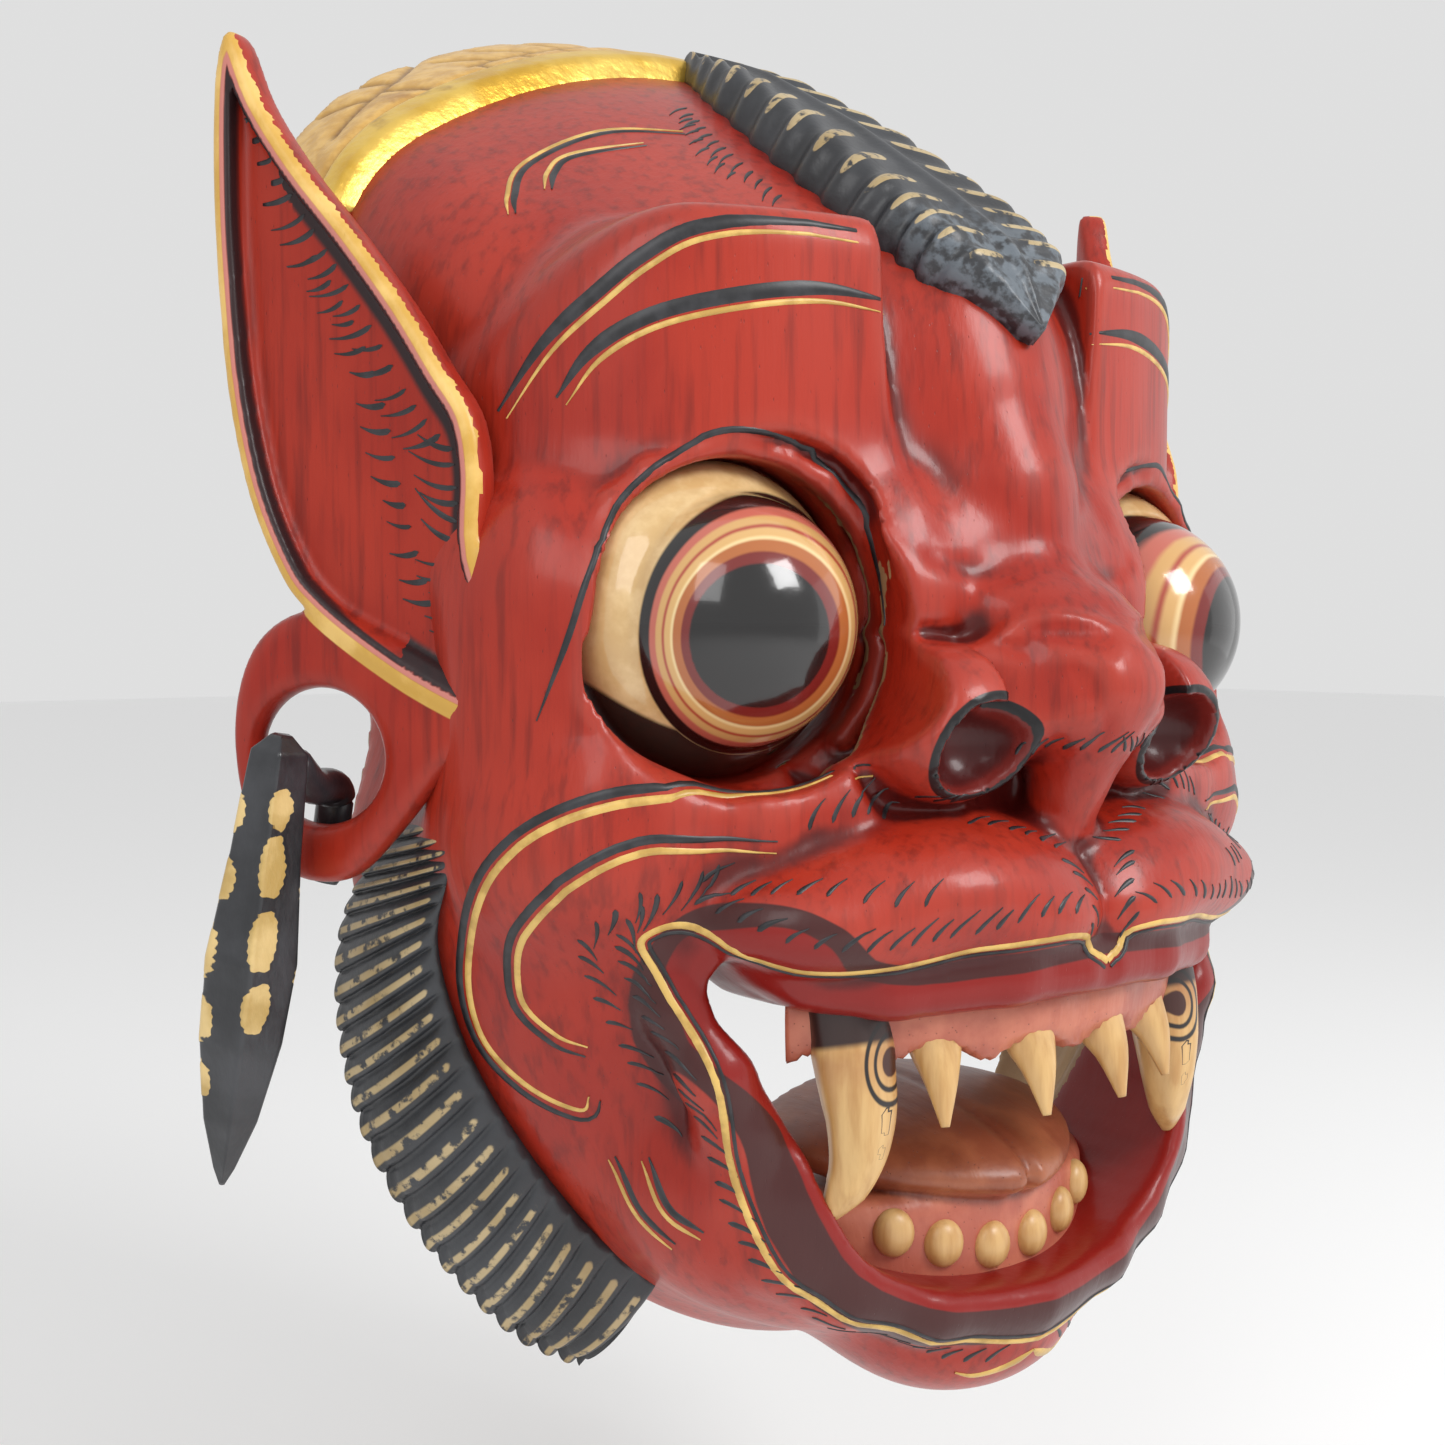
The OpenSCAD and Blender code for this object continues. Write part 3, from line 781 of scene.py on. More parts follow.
def make_earrings(material):
    rows = 150
    count = 96
    heights = [p[0] for p in DROP][::-1]
    radii = [p[1] for p in DROP][::-1]
    rings, gold = [], []
    for i in range(rows):
        h = 5 - 88.5 * i / (rows - 1)
        r = float(np.interp(h, heights, radii))
        ring = []
        for j in range(count):
            a = 2 * math.pi * j / count
            # The drop has five flat sides.
            turn = (a + math.pi / 5) % (2 * math.pi / 5) - math.pi / 5
            reach = 0.86 * r / math.cos(turn)
            ring.append((reach * math.sin(a), h, -9.2 - reach * math.cos(a)))
            b = math.atan2(math.sin(a), math.cos(a))
            best = 0
            for angle, level, wide, tall in LEAVES:
                wobble = 0.15 * math.sin(7 * h + 3 * angle) + 0.1 * math.sin(13 * b)
                k = ((b - angle) / wide) ** 2 + ((h - level) / tall) ** 2 + wobble
                best = max(best, 1.6 - k)
            gold.append(best)
        rings.append(ring)
    verts, faces = swept(rings)
    gold = np.array([gold[0]] * count + gold + [gold[-1]] * count)
    verts[:, 2] -= 0.25 * ramp(gold, 0.5, 0.9)

    # The hook: a bar through the opening and a short leg behind the lobe.
    bars = []
    for line, wide, thick in (([(0, 0, -6), (0, -5.5, 2), (0, -6.5, 9), (0, -9, 11.2)], 4.2, 3.6),
                              ([(0, -8, 11), (0, -16, 11.1), (0, -26, 10.8)], 4.2, 1.9)):
        path = spline(line, 6)
        loops = []
        for k, p in enumerate(path):
            q = path[min(k + 1, len(path) - 1)]
            o = path[max(k - 1, 0)]
            t = np.array(q) - np.array(o)
            t /= np.linalg.norm(t)
            n = np.cross(t, [1.0, 0, 0])
            ends = 0.75 if k in (0, len(path) - 1) else 1
            loops.append([np.array(p) + ends * (wide * math.cos(a) * np.array([1.0, 0, 0])
                                                + thick * math.sin(a) * n)
                          for a in [2 * math.pi * m / 20 for m in range(20)]])
        bars.append(swept(loops))
    for v, f in bars:
        faces = np.concatenate([facing_out(verts, faces), facing_out(v, f) + len(verts)])
        verts = np.concatenate([verts, v])
        gold = np.concatenate([gold, np.zeros(len(v))])
    c, s = math.cos(DROP_LEAN), math.sin(DROP_LEAN)
    local = np.stack([HOOK_AT[0] + c * verts[:, 0] - s * verts[:, 1],
                      HOOK_AT[1] + s * verts[:, 0] + c * verts[:, 1], verts[:, 2]], axis=1)
    world = from_ear(local)

    for side, word in SIDES:
        v, f = flip_x(world, faces, side)
        name = "earring_" + word
        drop = make_piece("drop_" + word, v, f, material, name)
        give(drop, "hollow", hollowness(v, f))
        give(drop, "gold", gold)
        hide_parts(name)


# Headband: a gilt band over the crown with carved leaves and a bevelled front edge.

VEINS = [[(4, 8), (20, -4), (38, -10), (56, -12)], [(4, -10), (22, -12), (40, -18)],
         [(60, 6), (70, -4), (84, -12), (92, -16)], [(12, 2), (14, 10)], [(26, -7), (31, 6)],
         [(36, -10), (46, 3)], [(48, -11), (58, 0)], [(30, -8), (24, -18)],
         [(42, -11), (38, -19)], [(54, -12), (52, -20)], [(72, -6), (78, 4)], [(80, -10), (88, -2)],
         [(76, -9), (70, -18)]]


def band_front(x):
    return -25 - 7 * np.clip(np.abs(x) / 89, 0, 1.2) ** 2


def make_headband(material):
    step = 1.05
    clay = Clay(np.arange(0, 112, step), np.arange(-40, 16, step), np.arange(-34, 42, step))
    x, y, z = clay.everywhere()
    head = head_distance(clay)
    front = band_front(x) - y
    bevel = ramp(y - band_front(x), 9.5, 6.5)
    top = head - 3.0 - 1.1 * bevel
    groove = 0.9 * np.exp(-((y - band_front(x) - 9) / 1.1) ** 2)
    body = smooth_max(top + groove, (front + 0.5 * (head - 3.5)).astype(np.float32), 1.2)
    body = smooth_max(body, -(head + 1.5), 0.5)
    body = smooth_max(body, past_back(y, z), 1)
    clay.d = smooth_max(body, -(z + 25), 2)
    verts, faces = skin(mirrored(clay))
    side = np.abs(verts[:, 0])
    near = np.min([line_gap(line, 5, side, verts[:, 1]) for line in VEINS], axis=0)
    cut = np.exp(-(near / 0.9) ** 2)
    lift = ramp(near, 1, 5)
    back_only = ramp(verts[:, 1] - band_front(verts[:, 0]), 9, 11)
    amount = (-0.75 * cut + 0.35 * lift) * back_only
    crack = np.exp(-(verts[:, 0] / 0.6) ** 2) * 0.8
    inward = np.stack([verts[:, 0] * 0.5, 0 * side, np.full(len(side), 60.0)], axis=1)
    inward /= np.linalg.norm(inward, axis=1, keepdims=True)
    verts = verts + inward * (amount - crack * back_only)[:, None]
    band = dress("gilt_headband", verts, faces, material, "headband")
    give(band, "bright", ramp(verts[:, 1] - band_front(verts[:, 0]), 10, 8))
    give(band, "vein", cut * back_only)


# Forelock: a leaf of black hair on the midline, ribbed on both sides of its crest.

LOCK_PATH = [(-22, 26), (-48, 11), (-78, -8), (-108, -28), (-126, -39), (-137, -52)]
LOCK_WIDTH = [2.5, 14, 20, 23, 18, 0.6]
LOCK_HEIGHT = [4, 8, 9, 8.5, 5.5, 1]


def make_forelock(material):
    rows = 220
    across = 60
    path = spline(LOCK_PATH, 20)
    keys = np.linspace(0, 1, len(LOCK_WIDTH))
    rings, ridge = [], []
    for i in range(rows):
        t = i / (rows - 1)
        (y, z), (run, rise) = along_path(path, t)
        size = math.hypot(run, rise)
        ny, nz = rise / size, -run / size
        wide = float(np.interp(t, keys, LOCK_WIDTH))
        tall = float(np.interp(t, keys, LOCK_HEIGHT))
        ring = []
        for j in range(across):
            u = -1 + 2 * j / (across - 1)
            rib = math.sin(2 * math.pi * (15 * t - 1.6 * abs(u) * (1 - t)))
            strength = ramp(np.array(abs(u)), 0.08, 0.4) * (1 - ramp(np.array(t), 0.8, 0.95))
            edge = 1 + 0.05 * rib * float(strength) * abs(u)
            crest = 1.6 * math.exp(-(u / 0.12) ** 2) + 2.4 * abs(u) ** 1.5 - 1
            end = (1 - abs(u) ** 8)
            h = tall * end + (crest + 0.55 * rib * float(strength)) * end * min(1, tall / 5)
            ring.append((u * wide * edge, y + ny * h, z + nz * h))
            ridge.append(1.5 * rib * float(strength) * (1 - abs(u) ** 12))
        for j in range(across):
            u = 1 - 2 * j / (across - 1)
            drop = 3.5 + 6 * u * u * wide / 21
            ring.append((u * wide * 0.96, y - ny * drop, z - nz * drop))
            ridge.append(0)
        rings.append(ring)
    verts, faces = swept(rings)
    ridge = with_ends(ridge, 2 * across)
    lock = dress("forelock_leaf", verts, faces, material, "forelock")
    give(lock, "ridge", ridge)
    give(lock, "blue_grey_tip", ramp(verts[:, 1], -112, -128))


# Whisker fringes: black ribbed collars that spread down the sides of the jaw.

FRINGE_INNER = [(97, -97, -132), (104, -91, -146), (105, -86, -158), (104, -80, -171),
                (98, -80, -190), (88, -83, -209), (75, -86, -227), (58, -88, -242)]
FRINGE_OUTER = [(92, -76, -134), (102.8, -62, -150), (108.7, -52, -166), (111, -52, -185),
                (109, -58, -208), (99, -64, -231), (83, -71, -252), (68, -74, -262)]
FRINGE_BACK = [(84, -60, -134), (92, -46, -150), (97, -46, -166), (98, -50, -185),
               (96, -57, -207), (87, -63, -226), (72, -69, -243), (60, -72, -252)]
RIBS = 27


def make_fringes(material):
    per_rib = 14
    rows = RIBS * per_rib
    inner = spline(FRINGE_INNER, 24)
    outer = spline(FRINGE_OUTER, 24)
    back = spline(FRINGE_BACK, 24)
    across = 26
    rings, ridge = [], []
    for i in range(rows + 1):
        t = i / rows
        wander = 0.25 * math.sin(9 * t) + 0.2 * math.sin(23 * t + 1)
        a, b, c = (along_path(line, t)[0] for line in (inner, outer, back))
        out = np.array([b[0], 0, b[2] + 118.0])
        out[2] = min(out[2], 0)
        out /= np.linalg.norm(out)
        out = out + np.array([0, -0.35, 0])
        ring = []
        for j in range(across):
            s = j / (across - 1)
            phase = RIBS * t + wander - 0.8 * s * (1 - t) + 0.3 * s * t
            rib = abs(math.sin(math.pi * phase)) ** 0.6
            belly = 4.5 * math.sin(math.pi * min(1, 0.08 + s)) ** 0.7 * (0.5 + 0.5 * t)
            grow = ramp(np.array(s), 0.0, 0.1)
            proud = 0.35 + 0.65 * float(ramp(np.array(t), 0.35, 0.7))
            swell = belly * 0.8 * proud + (1.9 * rib - 0.6 - 0.9 * (1 - proud)) * float(grow)
            p = a + (b - a) * s + out * swell
            ring.append(p)
            ridge.append(rib * float(grow))
        for j in range(1, 7):
            s = j / 7
            ring.append(b + (c - b) * s)
            ridge.append(0)
        for j in range(0, 5):
            s = j / 5
            ring.append(c + (a + np.array([-7, 4, 2]) - c) * s)
            ridge.append(0)
        rings.append(ring)
    verts, faces = swept(rings)
    ridge = with_ends(ridge, len(rings[0]))

    for side, word in SIDES:
        v, f = flip_x(verts, faces, side)
        fringe = dress("ribbed_fringe_" + word, v, f, material,
                       "whisker_fringe_" + word)
        give(fringe, "ridge", ridge)
        give(fringe, "blue_grey_tip", np.zeros(len(v)))


# Mouth: scalloped gum, teeth, fangs, tongue with its lower gum, and small lower teeth.


def horn(line, radii, flat=0.86, count=28, rows=40):
    """A curved, slightly faceted tooth; also how far each vertex lies along it."""
    path = spline(line, 12)
    keys = np.linspace(0, 1, len(radii))
    rings, along = [], []
    for i in range(rows):
        t = i / (rows - 1)
        here, step = along_path(path, t)
        axis = step / np.linalg.norm(step)
        side = np.cross(axis, [0, 1.0, 0])
        side /= np.linalg.norm(side)
        front = np.cross(side, axis)
        r = float(np.interp(t, keys, radii))
        ring = []
        for j in range(count):
            a = 2 * math.pi * j / count
            facets = 1 + 0.025 * math.cos(6 * a + 0.6)
            ring.append(here + r * facets * (math.cos(a) * side + flat * math.sin(a) * front))
            along.append(t)
        rings.append(ring)
    verts, faces = swept(rings)
    return verts, faces, with_ends(along, count)


def make_teeth(material):
    for i, angle in enumerate((-24, -8, 8, 24)):
        a = math.radians(angle)
        line = []
        for y, z in ((-70, -181), (-73, -188), (-77, -195), (-79.5, -203.5)):
            line.append((-y * math.sin(a), y * math.cos(a) - 71.5, z))
        verts, faces, along = horn(line, (6.7, 6.6, 5.0, 3.0, 0.9))
        name = "upper_tooth_%d" % (i + 1)
        tooth = dress("carved_" + name, verts, faces, material, name)
        give(tooth, "along", along)
        give(tooth, "mark", np.full(len(verts), 9))

    fang_line = [(45, -130.5, -181), (45.2, -133, -192), (45.0, -134.5, -203),
                 (46.6, -133.5, -213), (51.5, -130, -222.5)]
    verts, faces, along = horn(fang_line, (8.4, 8.2, 7.4, 6.0, 4.2, 0.7), 0.9, 48, 90)
    # Concentric painted rings near the root and two dots below them.
    off = verts - np.array([43.0, -141.0, -190.5])
    ring = np.hypot(off[:, 0] + 0.6 * off[:, 1], off[:, 2] * 0.8)
    front = verts[:, 1] < np.interp(along, [0, 1], [-133, -131])
    mark = np.where(front, ring, 9)
    for spot, wide in (((44, -201.5), 1.5), ((44.5, -207), 1.0)):
        dot = np.hypot(verts[:, 0] - spot[0], (verts[:, 2] - spot[1]) * 0.6)
        mark = np.where(front & (dot < wide), 5.0, mark)

    for side, word in SIDES:
        v, f = flip_x(verts, faces, side)
        fang = dress("carved_fang_" + word, v, f, material, "fang_" + word)
        give(fang, "along", along * 0.9)
        give(fang, "mark", mark)

    for i, (angle, z) in enumerate(((-29, -230), (-18, -233), (-6, -235), (6, -235), (18, -233),
                                    (29, -230))):
        a = math.radians(angle)
        rings = []
        for k in range(13):
            lat = math.pi * k / 12
            rings.append([(4.3 * math.sin(lat) * math.cos(b), 3.0 * math.sin(lat) * math.sin(b),
                           4.9 * math.cos(lat)) for b in [math.pi * m / 12 for m in range(24)]])
        verts, faces = swept(rings)
        mid = np.array([55.3 * math.sin(a), -55.3 * math.cos(a) - 76, z])
        turn = np.array([[math.cos(a), math.sin(a), 0], [-math.sin(a), math.cos(a), 0], [0, 0, 1]])
        verts = verts @ turn + mid
        name = "lower_tooth_%d" % (i + 1)
        tooth = dress("carved_" + name, verts, faces, material, name)
        give(tooth, "along", np.full(len(verts), 0.35))
        give(tooth, "mark", np.full(len(verts), 9))


# Middle and half width, in degrees, of each scallop of the upper gum.
SCALLOPS = ((-38, 8), (-24, 7), (-8, 7), (8, 7), (24, 7), (38, 8))


def make_gums(material):
    rows = 120
    rings = []
    for i in range(rows + 1):
        a = math.radians(-46 + 92 * i / rows)
        deg = math.degrees(a)
        scallop = max([0.0] + [1 - ((deg - middle) / wide) ** 2 for middle, wide in SCALLOPS])
        low = -192.5 + 3.4 * scallop + 0.4 * math.sin(5 * deg)
        loop = []
        for r, z in ((64.5, -179), (66, -178), (72, -177.5), (77.5, -179), (78, -183),
                     (77.6, -187), (76.6, low + 1), (74.5, low), (70, low), (66, low + 0.8),
                     (64.5, low + 3)):
            bump = 0.7 * scallop if r > 74 else 0
            loop.append(((r + bump) * math.sin(a), -(r + bump) * math.cos(a) - 71.5, z))
        rings.append(loop)
    verts, faces = swept(rings)
    gum = dress("scalloped_gum", verts, faces, material, "upper_gum")
    give(gum, "seam", np.zeros(len(verts)))

    step = 1.0
    clay = Clay(np.arange(0, 46, step), np.arange(-142, -80, step), np.arange(-262, -204, step))
    x, y, z = clay.everywhere()
    plan = np.hypot(x, y + 76) - 55.5
    belly = np.hypot(x, z + 191) - 64
    block = smooth_max(smooth_max(plan, belly, 4), z + 224 + 0.06 * (y + 110), 5)
    block = smooth_max(block, y + 84, 1)
    # The tongue is a thick leaf with a groove down its middle.
    leaf = ((np.abs(x) / 37) ** 1.5 + (np.abs(y + 103) / 35) ** 1.7
            + ((z + 217 - 0.12 * (y + 103)) / 9.5) ** 2)
    groove = 1.2 * np.exp(-(x / 1.6) ** 2) * (y < -84)
    tongue = ((leaf - 1) * 9 + groove).astype(np.float32)
    clay.d = smooth_max(smooth_min(block, tongue, 1.5), y + 85, 1)
    verts, faces = skin(mirrored(clay))
    tongue = dress("tongue_and_gum", verts, faces, material, "tongue")
    give(tongue, "seam", ramp(verts[:, 2], -226, -222))


# ---------------------------------------------------------------- painted lines


class Brush:
    """Lays thin raised strokes of paint on a piece."""

    def __init__(self, verts, faces):
        self.tree = BVHTree.FromPolygons([tuple(v) for v in verts.tolist()], faces.tolist())
        self.verts, self.faces = [], []

    def settle(self, point):
        at, normal, _, _ = self.tree.find_nearest(Vector(point))
        return np.array(at), np.array(normal)

    def stroke(self, points, wide, shift=0.0, high=0.22, taper=(0.25, 0.25), per_span=7):
        """A bead of paint along the points; shift moves it sideways over the surface."""
        path = [self.settle(p) for p in spline(points, per_span)]
        count = len(path)
        base = len(self.verts)
        for i, (at, normal) in enumerate(path):
            tangent = path[min(i + 1, count - 1)][0] - path[max(i - 1, 0)][0]
            across = np.cross(tangent, normal)
            size = np.linalg.norm(across)
            across = across / size if size > 1e-6 else np.array([1.0, 0, 0])
            t = i / (count - 1)
            grow = min(1, t / taper[0]) if taper[0] else 1
            fade = min(1, (1 - t) / taper[1]) if taper[1] else 1
            half = 0.5 * wide * max(0.1, min(grow, fade)) ** 0.7
            for side, lift in ((-1, -0.12), (-0.6, high), (0, high * 1.15), (0.6, high),
                               (1, -0.12)):
                spot, up = self.settle(at + across * (shift + side * half))
                self.verts.append(spot + up * lift)
        for i in range(count - 1):
            for j in range(4):
                a = base + 5 * i + j
                self.faces.append((a, a + 1, a + 6, a + 5))

    def hairs(self, path, length, lean=0.5, gap=4.2, side=1, wide=1.15, curl=0.55):
        """A row of short curved hairs that start on the path and bend along it."""
        line = spline(path, 14)
        walked = 0.0
        due = 0.0
        for p, q in zip(line, line[1:]):
            step = math.dist(p, q)
            walked += step
            if walked < due:
                continue
            due = walked + gap * random.uniform(0.8, 1.2)
            at, normal = self.settle(p)
            tangent = (np.array(q) - np.array(p)) / max(step, 1e-6)
            out = np.cross(tangent, normal) * side
            out /= max(np.linalg.norm(out), 1e-6)
            reach = length * random.uniform(0.75, 1.15)
            turn = lean + random.uniform(-0.15, 0.15)
            points = []
            for k in range(5):
                f = k / 4
                points.append(at + reach * f * out + reach * (turn * f + curl * f * f) * tangent)
            self.stroke(points, wide * random.uniform(0.8, 1.2), taper=(0.1, 0.6), per_span=2,
                        high=0.16)

    def piece(self, name, material, slot):
        verts = np.array(self.verts)
        faces = np.array(self.faces)
        a, b, c = (verts[faces[:, i]] for i in (0, 1, 2))
        normals = np.cross(b - a, c - a)
        outward = np.array([self.settle(v)[1] for v in verts[faces[:, 0]]])
        wrong = np.sum(normals * outward, axis=1) < 0
        faces = np.where(wrong[:, None], faces[:, ::-1], faces)
        painted = make_piece(name, verts, faces, material)
        return painted


# Double lines on the side x > 0: points, gold width, black width and how far the black is shifted.
DOUBLE_LINES = [
    ([(93, -88, -71), (88, -96, -59), (81, -104, -50), (75, -109, -44), (67, -114, -39),
      (53, -119, -37), (30, -122, -38)], 1.3, 3.4, 2.4),
    ([(86, -98, -69), (82, -103, -61), (74, -110, -55), (60, -118, -51), (45, -123, -49),
      (30, -124, -50)], 1.3, 3.4, 2.4),
    ([(81, -70, -29), (79, -66, -23), (70, -58, -15), (50, -56, -4), (32, -62, -3)], 1.2, 1.8, -1.5),
    ([(72, -69, -22), (68, -64, -17), (61, -61, -12), (44, -64, -8)], 1.2, 1.8, -1.5),
    ([(42, -135, -137), (54, -128, -141), (75, -123, -141), (90, -117, -142), (99, -107, -148),
      (101, -94, -160), (99, -84, -174), (95, -82, -188), (89, -88, -197), (83, -97, -202),
      (83, -100, -199)], 1.9, 2.2, -2.3),
    ([(62, -130, -151), (74, -125, -150), (85, -120, -150), (94, -111, -156), (96, -99, -167),
      (94, -94, -179), (89, -98, -186), (84, -102, -188)], 1.6, 2.0, -2.2),
    ([(78, -99, -212), (76, -104, -221), (71, -111, -227)], 1.1, 1.8, 1.8),
    ([(75, -106, -211), (73, -111, -220), (69, -117, -224)], 1.1, 1.8, 1.8),
]
MOUTH_LINE = [(0, -156, -174), (4, -157, -171), (10, -157, -168), (18, -156, -167.5),
              (31, -152, -169), (46, -145, -171), (59, -139, -171), (70, -130, -167),
              (76, -122, -164), (81, -118, -165), (82, -116, -168), (78, -118, -176),
              (72, -125, -192), (67, -125, -213), (56, -129, -234), (32, -136, -248),
              (0, -139, -253.5)]
LID_LINE = [(96, -104, -127), (93, -109, -112), (90, -111, -101), (84, -112, -88), (73, -115, -77),
            (60, -118, -73.5), (45, -120, -77), (35, -122, -86), (30, -124, -97), (30, -126, -110)]
CHIN_MARK = [(0, -137, -256), (5, -136, -259), (12, -133, -261), (16, -131, -259)]

# Rows of hairs on the side x > 0: path, length, gap and the side they grow on.
HAIR_ROWS = [
    ([(56, -132, -147), (46, -137, -144.5), (33, -141, -144), (18, -149, -146), (8, -153, -149)],
     4.5, 3.6, 1),
    ([(10, -155, -152), (6, -158, -160), (7, -158, -167)], 4.2, 3.4, 1),
    ([(76, -124, -160), (66, -138, -165), (52, -146, -167), (38, -151, -165), (20, -156, -163),
      (9, -158, -164)], 4.6, 3.8, 1),
    ([(75, -126, -156), (66, -134, -159), (52, -143, -161), (38, -149, -160)], 4.2, 4.6, 1),
    ([(72, -127, -153), (83, -119, -158), (87, -115, -166), (82, -112, -177), (77, -117, -190),
      (73, -120, -204), (66, -124, -224), (56, -126, -238)], 5.4, 3.4, 1),
    ([(84, -117, -156), (91, -110, -164), (88, -107, -176), (83, -110, -190), (79, -113, -204)],
     4.4, 4.6, 1),
    ([(54, -127, -241), (40, -126, -249), (24, -131, -255), (8, -136, -257)], 4.4, 4.0, 1),
    ([(22, -50, 6), (26, -66, -5), (28, -80, -15), (29, -92, -24)], 5.6, 3.4, -1),
    ([(25, -56, 2), (31, -70, -8), (33, -84, -18)], 4.6, 4.4, -1),
    ([(18, -148, -134), (8, -156, -134), (0, -159, -134)], 4.0, 2.6, 1),
]
# Rows on the blade of the ear, in its own flat frame.
EAR_ROWS = [([(60, 116), (52, 101), (42, 87), (33, 73), (25, 60), (17, 51)], 8, 4.2),
            ([(16, 50), (15, 40), (15.5, 30), (12, 19), (9, 9)], 9, 3.2),
            ([(46, 88), (37, 74), (31, 60), (28, 46), (24, 32), (19, 20)], 6, 4.6)]


def paint_lines(face_shape, gold, black):
    golden, dark = Brush(*face_shape), Brush(*face_shape)
    for hand in (1, -1):
        def placed(points):
            return [(hand * p[0],) + tuple(p[1:]) for p in points]

        for points, gold_wide, black_wide, shift in DOUBLE_LINES:
            dark.stroke(placed(points), black_wide, shift * hand)
            golden.stroke(placed(points), gold_wide)
        golden.stroke(placed(MOUTH_LINE), 1.7, taper=(0, 0))
        dark.stroke(placed(MOUTH_LINE), 0.9, 1.5 * hand, taper=(0, 0))
        dark.stroke(placed(LID_LINE), 1.5, taper=(0.1, 0.1))
        golden.stroke(placed(CHIN_MARK), 2.6, taper=(0.2, 0.6))
        for path, length, gap, side in HAIR_ROWS:
            dark.hairs(placed(path), length, gap=gap, side=side * hand)
    golden.piece("gold_lines", gold, "gold_leaf")
    dark.piece("black_lines", black, "black_paint")


def paint_ears(ear_shape, black):
    verts, faces = ear_shape
    for side, word in SIDES:
        v, f = flip_x(verts, faces, side)
        dark = Brush(v, facing_out(v, f))
        for path, length, gap in EAR_ROWS:
            line = from_ear([(a, b, 4.2) for a, b in path]) * np.array([side, 1, 1])
            dark.hairs([tuple(p) for p in line], length, gap=gap, side=-side, lean=0.0, wide=1.3,
                       curl=-0.4)
        dark.piece("ear_hairs_" + word, black, "black_paint")


# ---------------------------------------------------------------- materials


class Paint:
    """Short helper for building a material's nodes."""

    def __init__(self, name, rough=0.35, coat=0.0, coat_rough=0.1, gloss=0.5):
        self.material = bpy.data.materials.new(name)
        self.material.use_nodes = True
        self.tree = self.material.node_tree
        self.shader = self.tree.nodes["Principled BSDF"]
        self.shader.inputs["Roughness"].default_value = rough
        self.shader.inputs["Specular IOR Level"].default_value = gloss
        self.shader.inputs["Coat Weight"].default_value = coat
        self.shader.inputs["Coat Roughness"].default_value = coat_rough
        self.place = self.tree.nodes.new("ShaderNodeTexCoord").outputs["Object"]

    def link(self, a, b):
        self.tree.links.new(a, b)

    def texture(self, kind, scale, stretch):
        """A texture node over the object's own coordinates, stretched along its axes."""
        mapping = self.tree.nodes.new("ShaderNodeMapping")
        mapping.inputs["Scale"].default_value = stretch
        self.link(self.place, mapping.inputs["Vector"])
        node = self.tree.nodes.new(kind)
        node.inputs["Scale"].default_value = scale
        self.link(mapping.outputs["Vector"], node.inputs["Vector"])
        return node

    def noise(self, scale, stretch=(1, 1, 1), detail=4):
        node = self.texture("ShaderNodeTexNoise", scale, stretch)
        node.inputs["Detail"].default_value = detail
        node.inputs["Roughness"].default_value = 0.55
        return node.outputs["Fac"]

    def pores(self, scale, stretch, size):
        """1 in small dark pores, 0 elsewhere."""
        node = self.texture("ShaderNodeTexVoronoi", scale, stretch)
        return self.between(node.outputs["Distance"], size, 0)

    def value(self, name):
        node = self.tree.nodes.new("ShaderNodeAttribute")
        node.attribute_name = name
        return node.outputs["Fac"]

    def between(self, source, low, high):
        """Goes from 0 at low to 1 at high."""
        node = self.tree.nodes.new("ShaderNodeMapRange")
        node.interpolation_type = "SMOOTHSTEP"
        node.inputs["From Min"].default_value = min(low, high)
        node.inputs["From Max"].default_value = max(low, high)
        if high < low:
            node.inputs["To Min"].default_value = 1
            node.inputs["To Max"].default_value = 0
        self.link(source, node.inputs["Value"])
        return node.outputs["Result"]

    def math(self, kind, a, b):
        node = self.tree.nodes.new("ShaderNodeMath")
        node.operation = kind
        for i, v in enumerate((a, b)):
            if isinstance(v, (int, float)):
                node.inputs[i].default_value = v
            else:
                self.link(v, node.inputs[i])
        return node.outputs["Value"]

    def plus(self, a, b):
        return self.math("ADD", a, b)

    def minus(self, a, b):
        return self.math("SUBTRACT", a, b)

    def times(self, a, b):
        return self.math("MULTIPLY", a, b)

    def mix(self, factor, a, b):
        """Goes from paint a to paint b as the factor goes from 0 to 1."""
        node = self.tree.nodes.new("ShaderNodeMix")
        node.data_type = "RGBA"
        self.link(factor, node.inputs["Factor"])
        for socket, v in ((node.inputs[6], a), (node.inputs[7], b)):
            if isinstance(v, tuple):
                socket.default_value = (*v, 1)
            else:
                self.link(v, socket)
        return node.outputs[2]

    def bump(self, height, strength, distance):
        node = self.tree.nodes.new("ShaderNodeBump")
        node.inputs["Strength"].default_value = strength
        node.inputs["Distance"].default_value = distance
        self.link(height, node.inputs["Height"])
        self.link(node.outputs["Normal"], self.shader.inputs["Normal"])

    def finish(self, colour, rough=None):
        self.link(colour, self.shader.inputs["Base Color"])
        if rough is not None:
            self.link(rough, self.shader.inputs["Roughness"])
        return self.material


RED = (0.31, 0.015, 0.006)
RED_LIGHT = (0.39, 0.027, 0.011)
RED_DARK = (0.055, 0.004, 0.004)
PLUM = (0.060, 0.014, 0.013)
LIP_RED = (0.24, 0.010, 0.007)


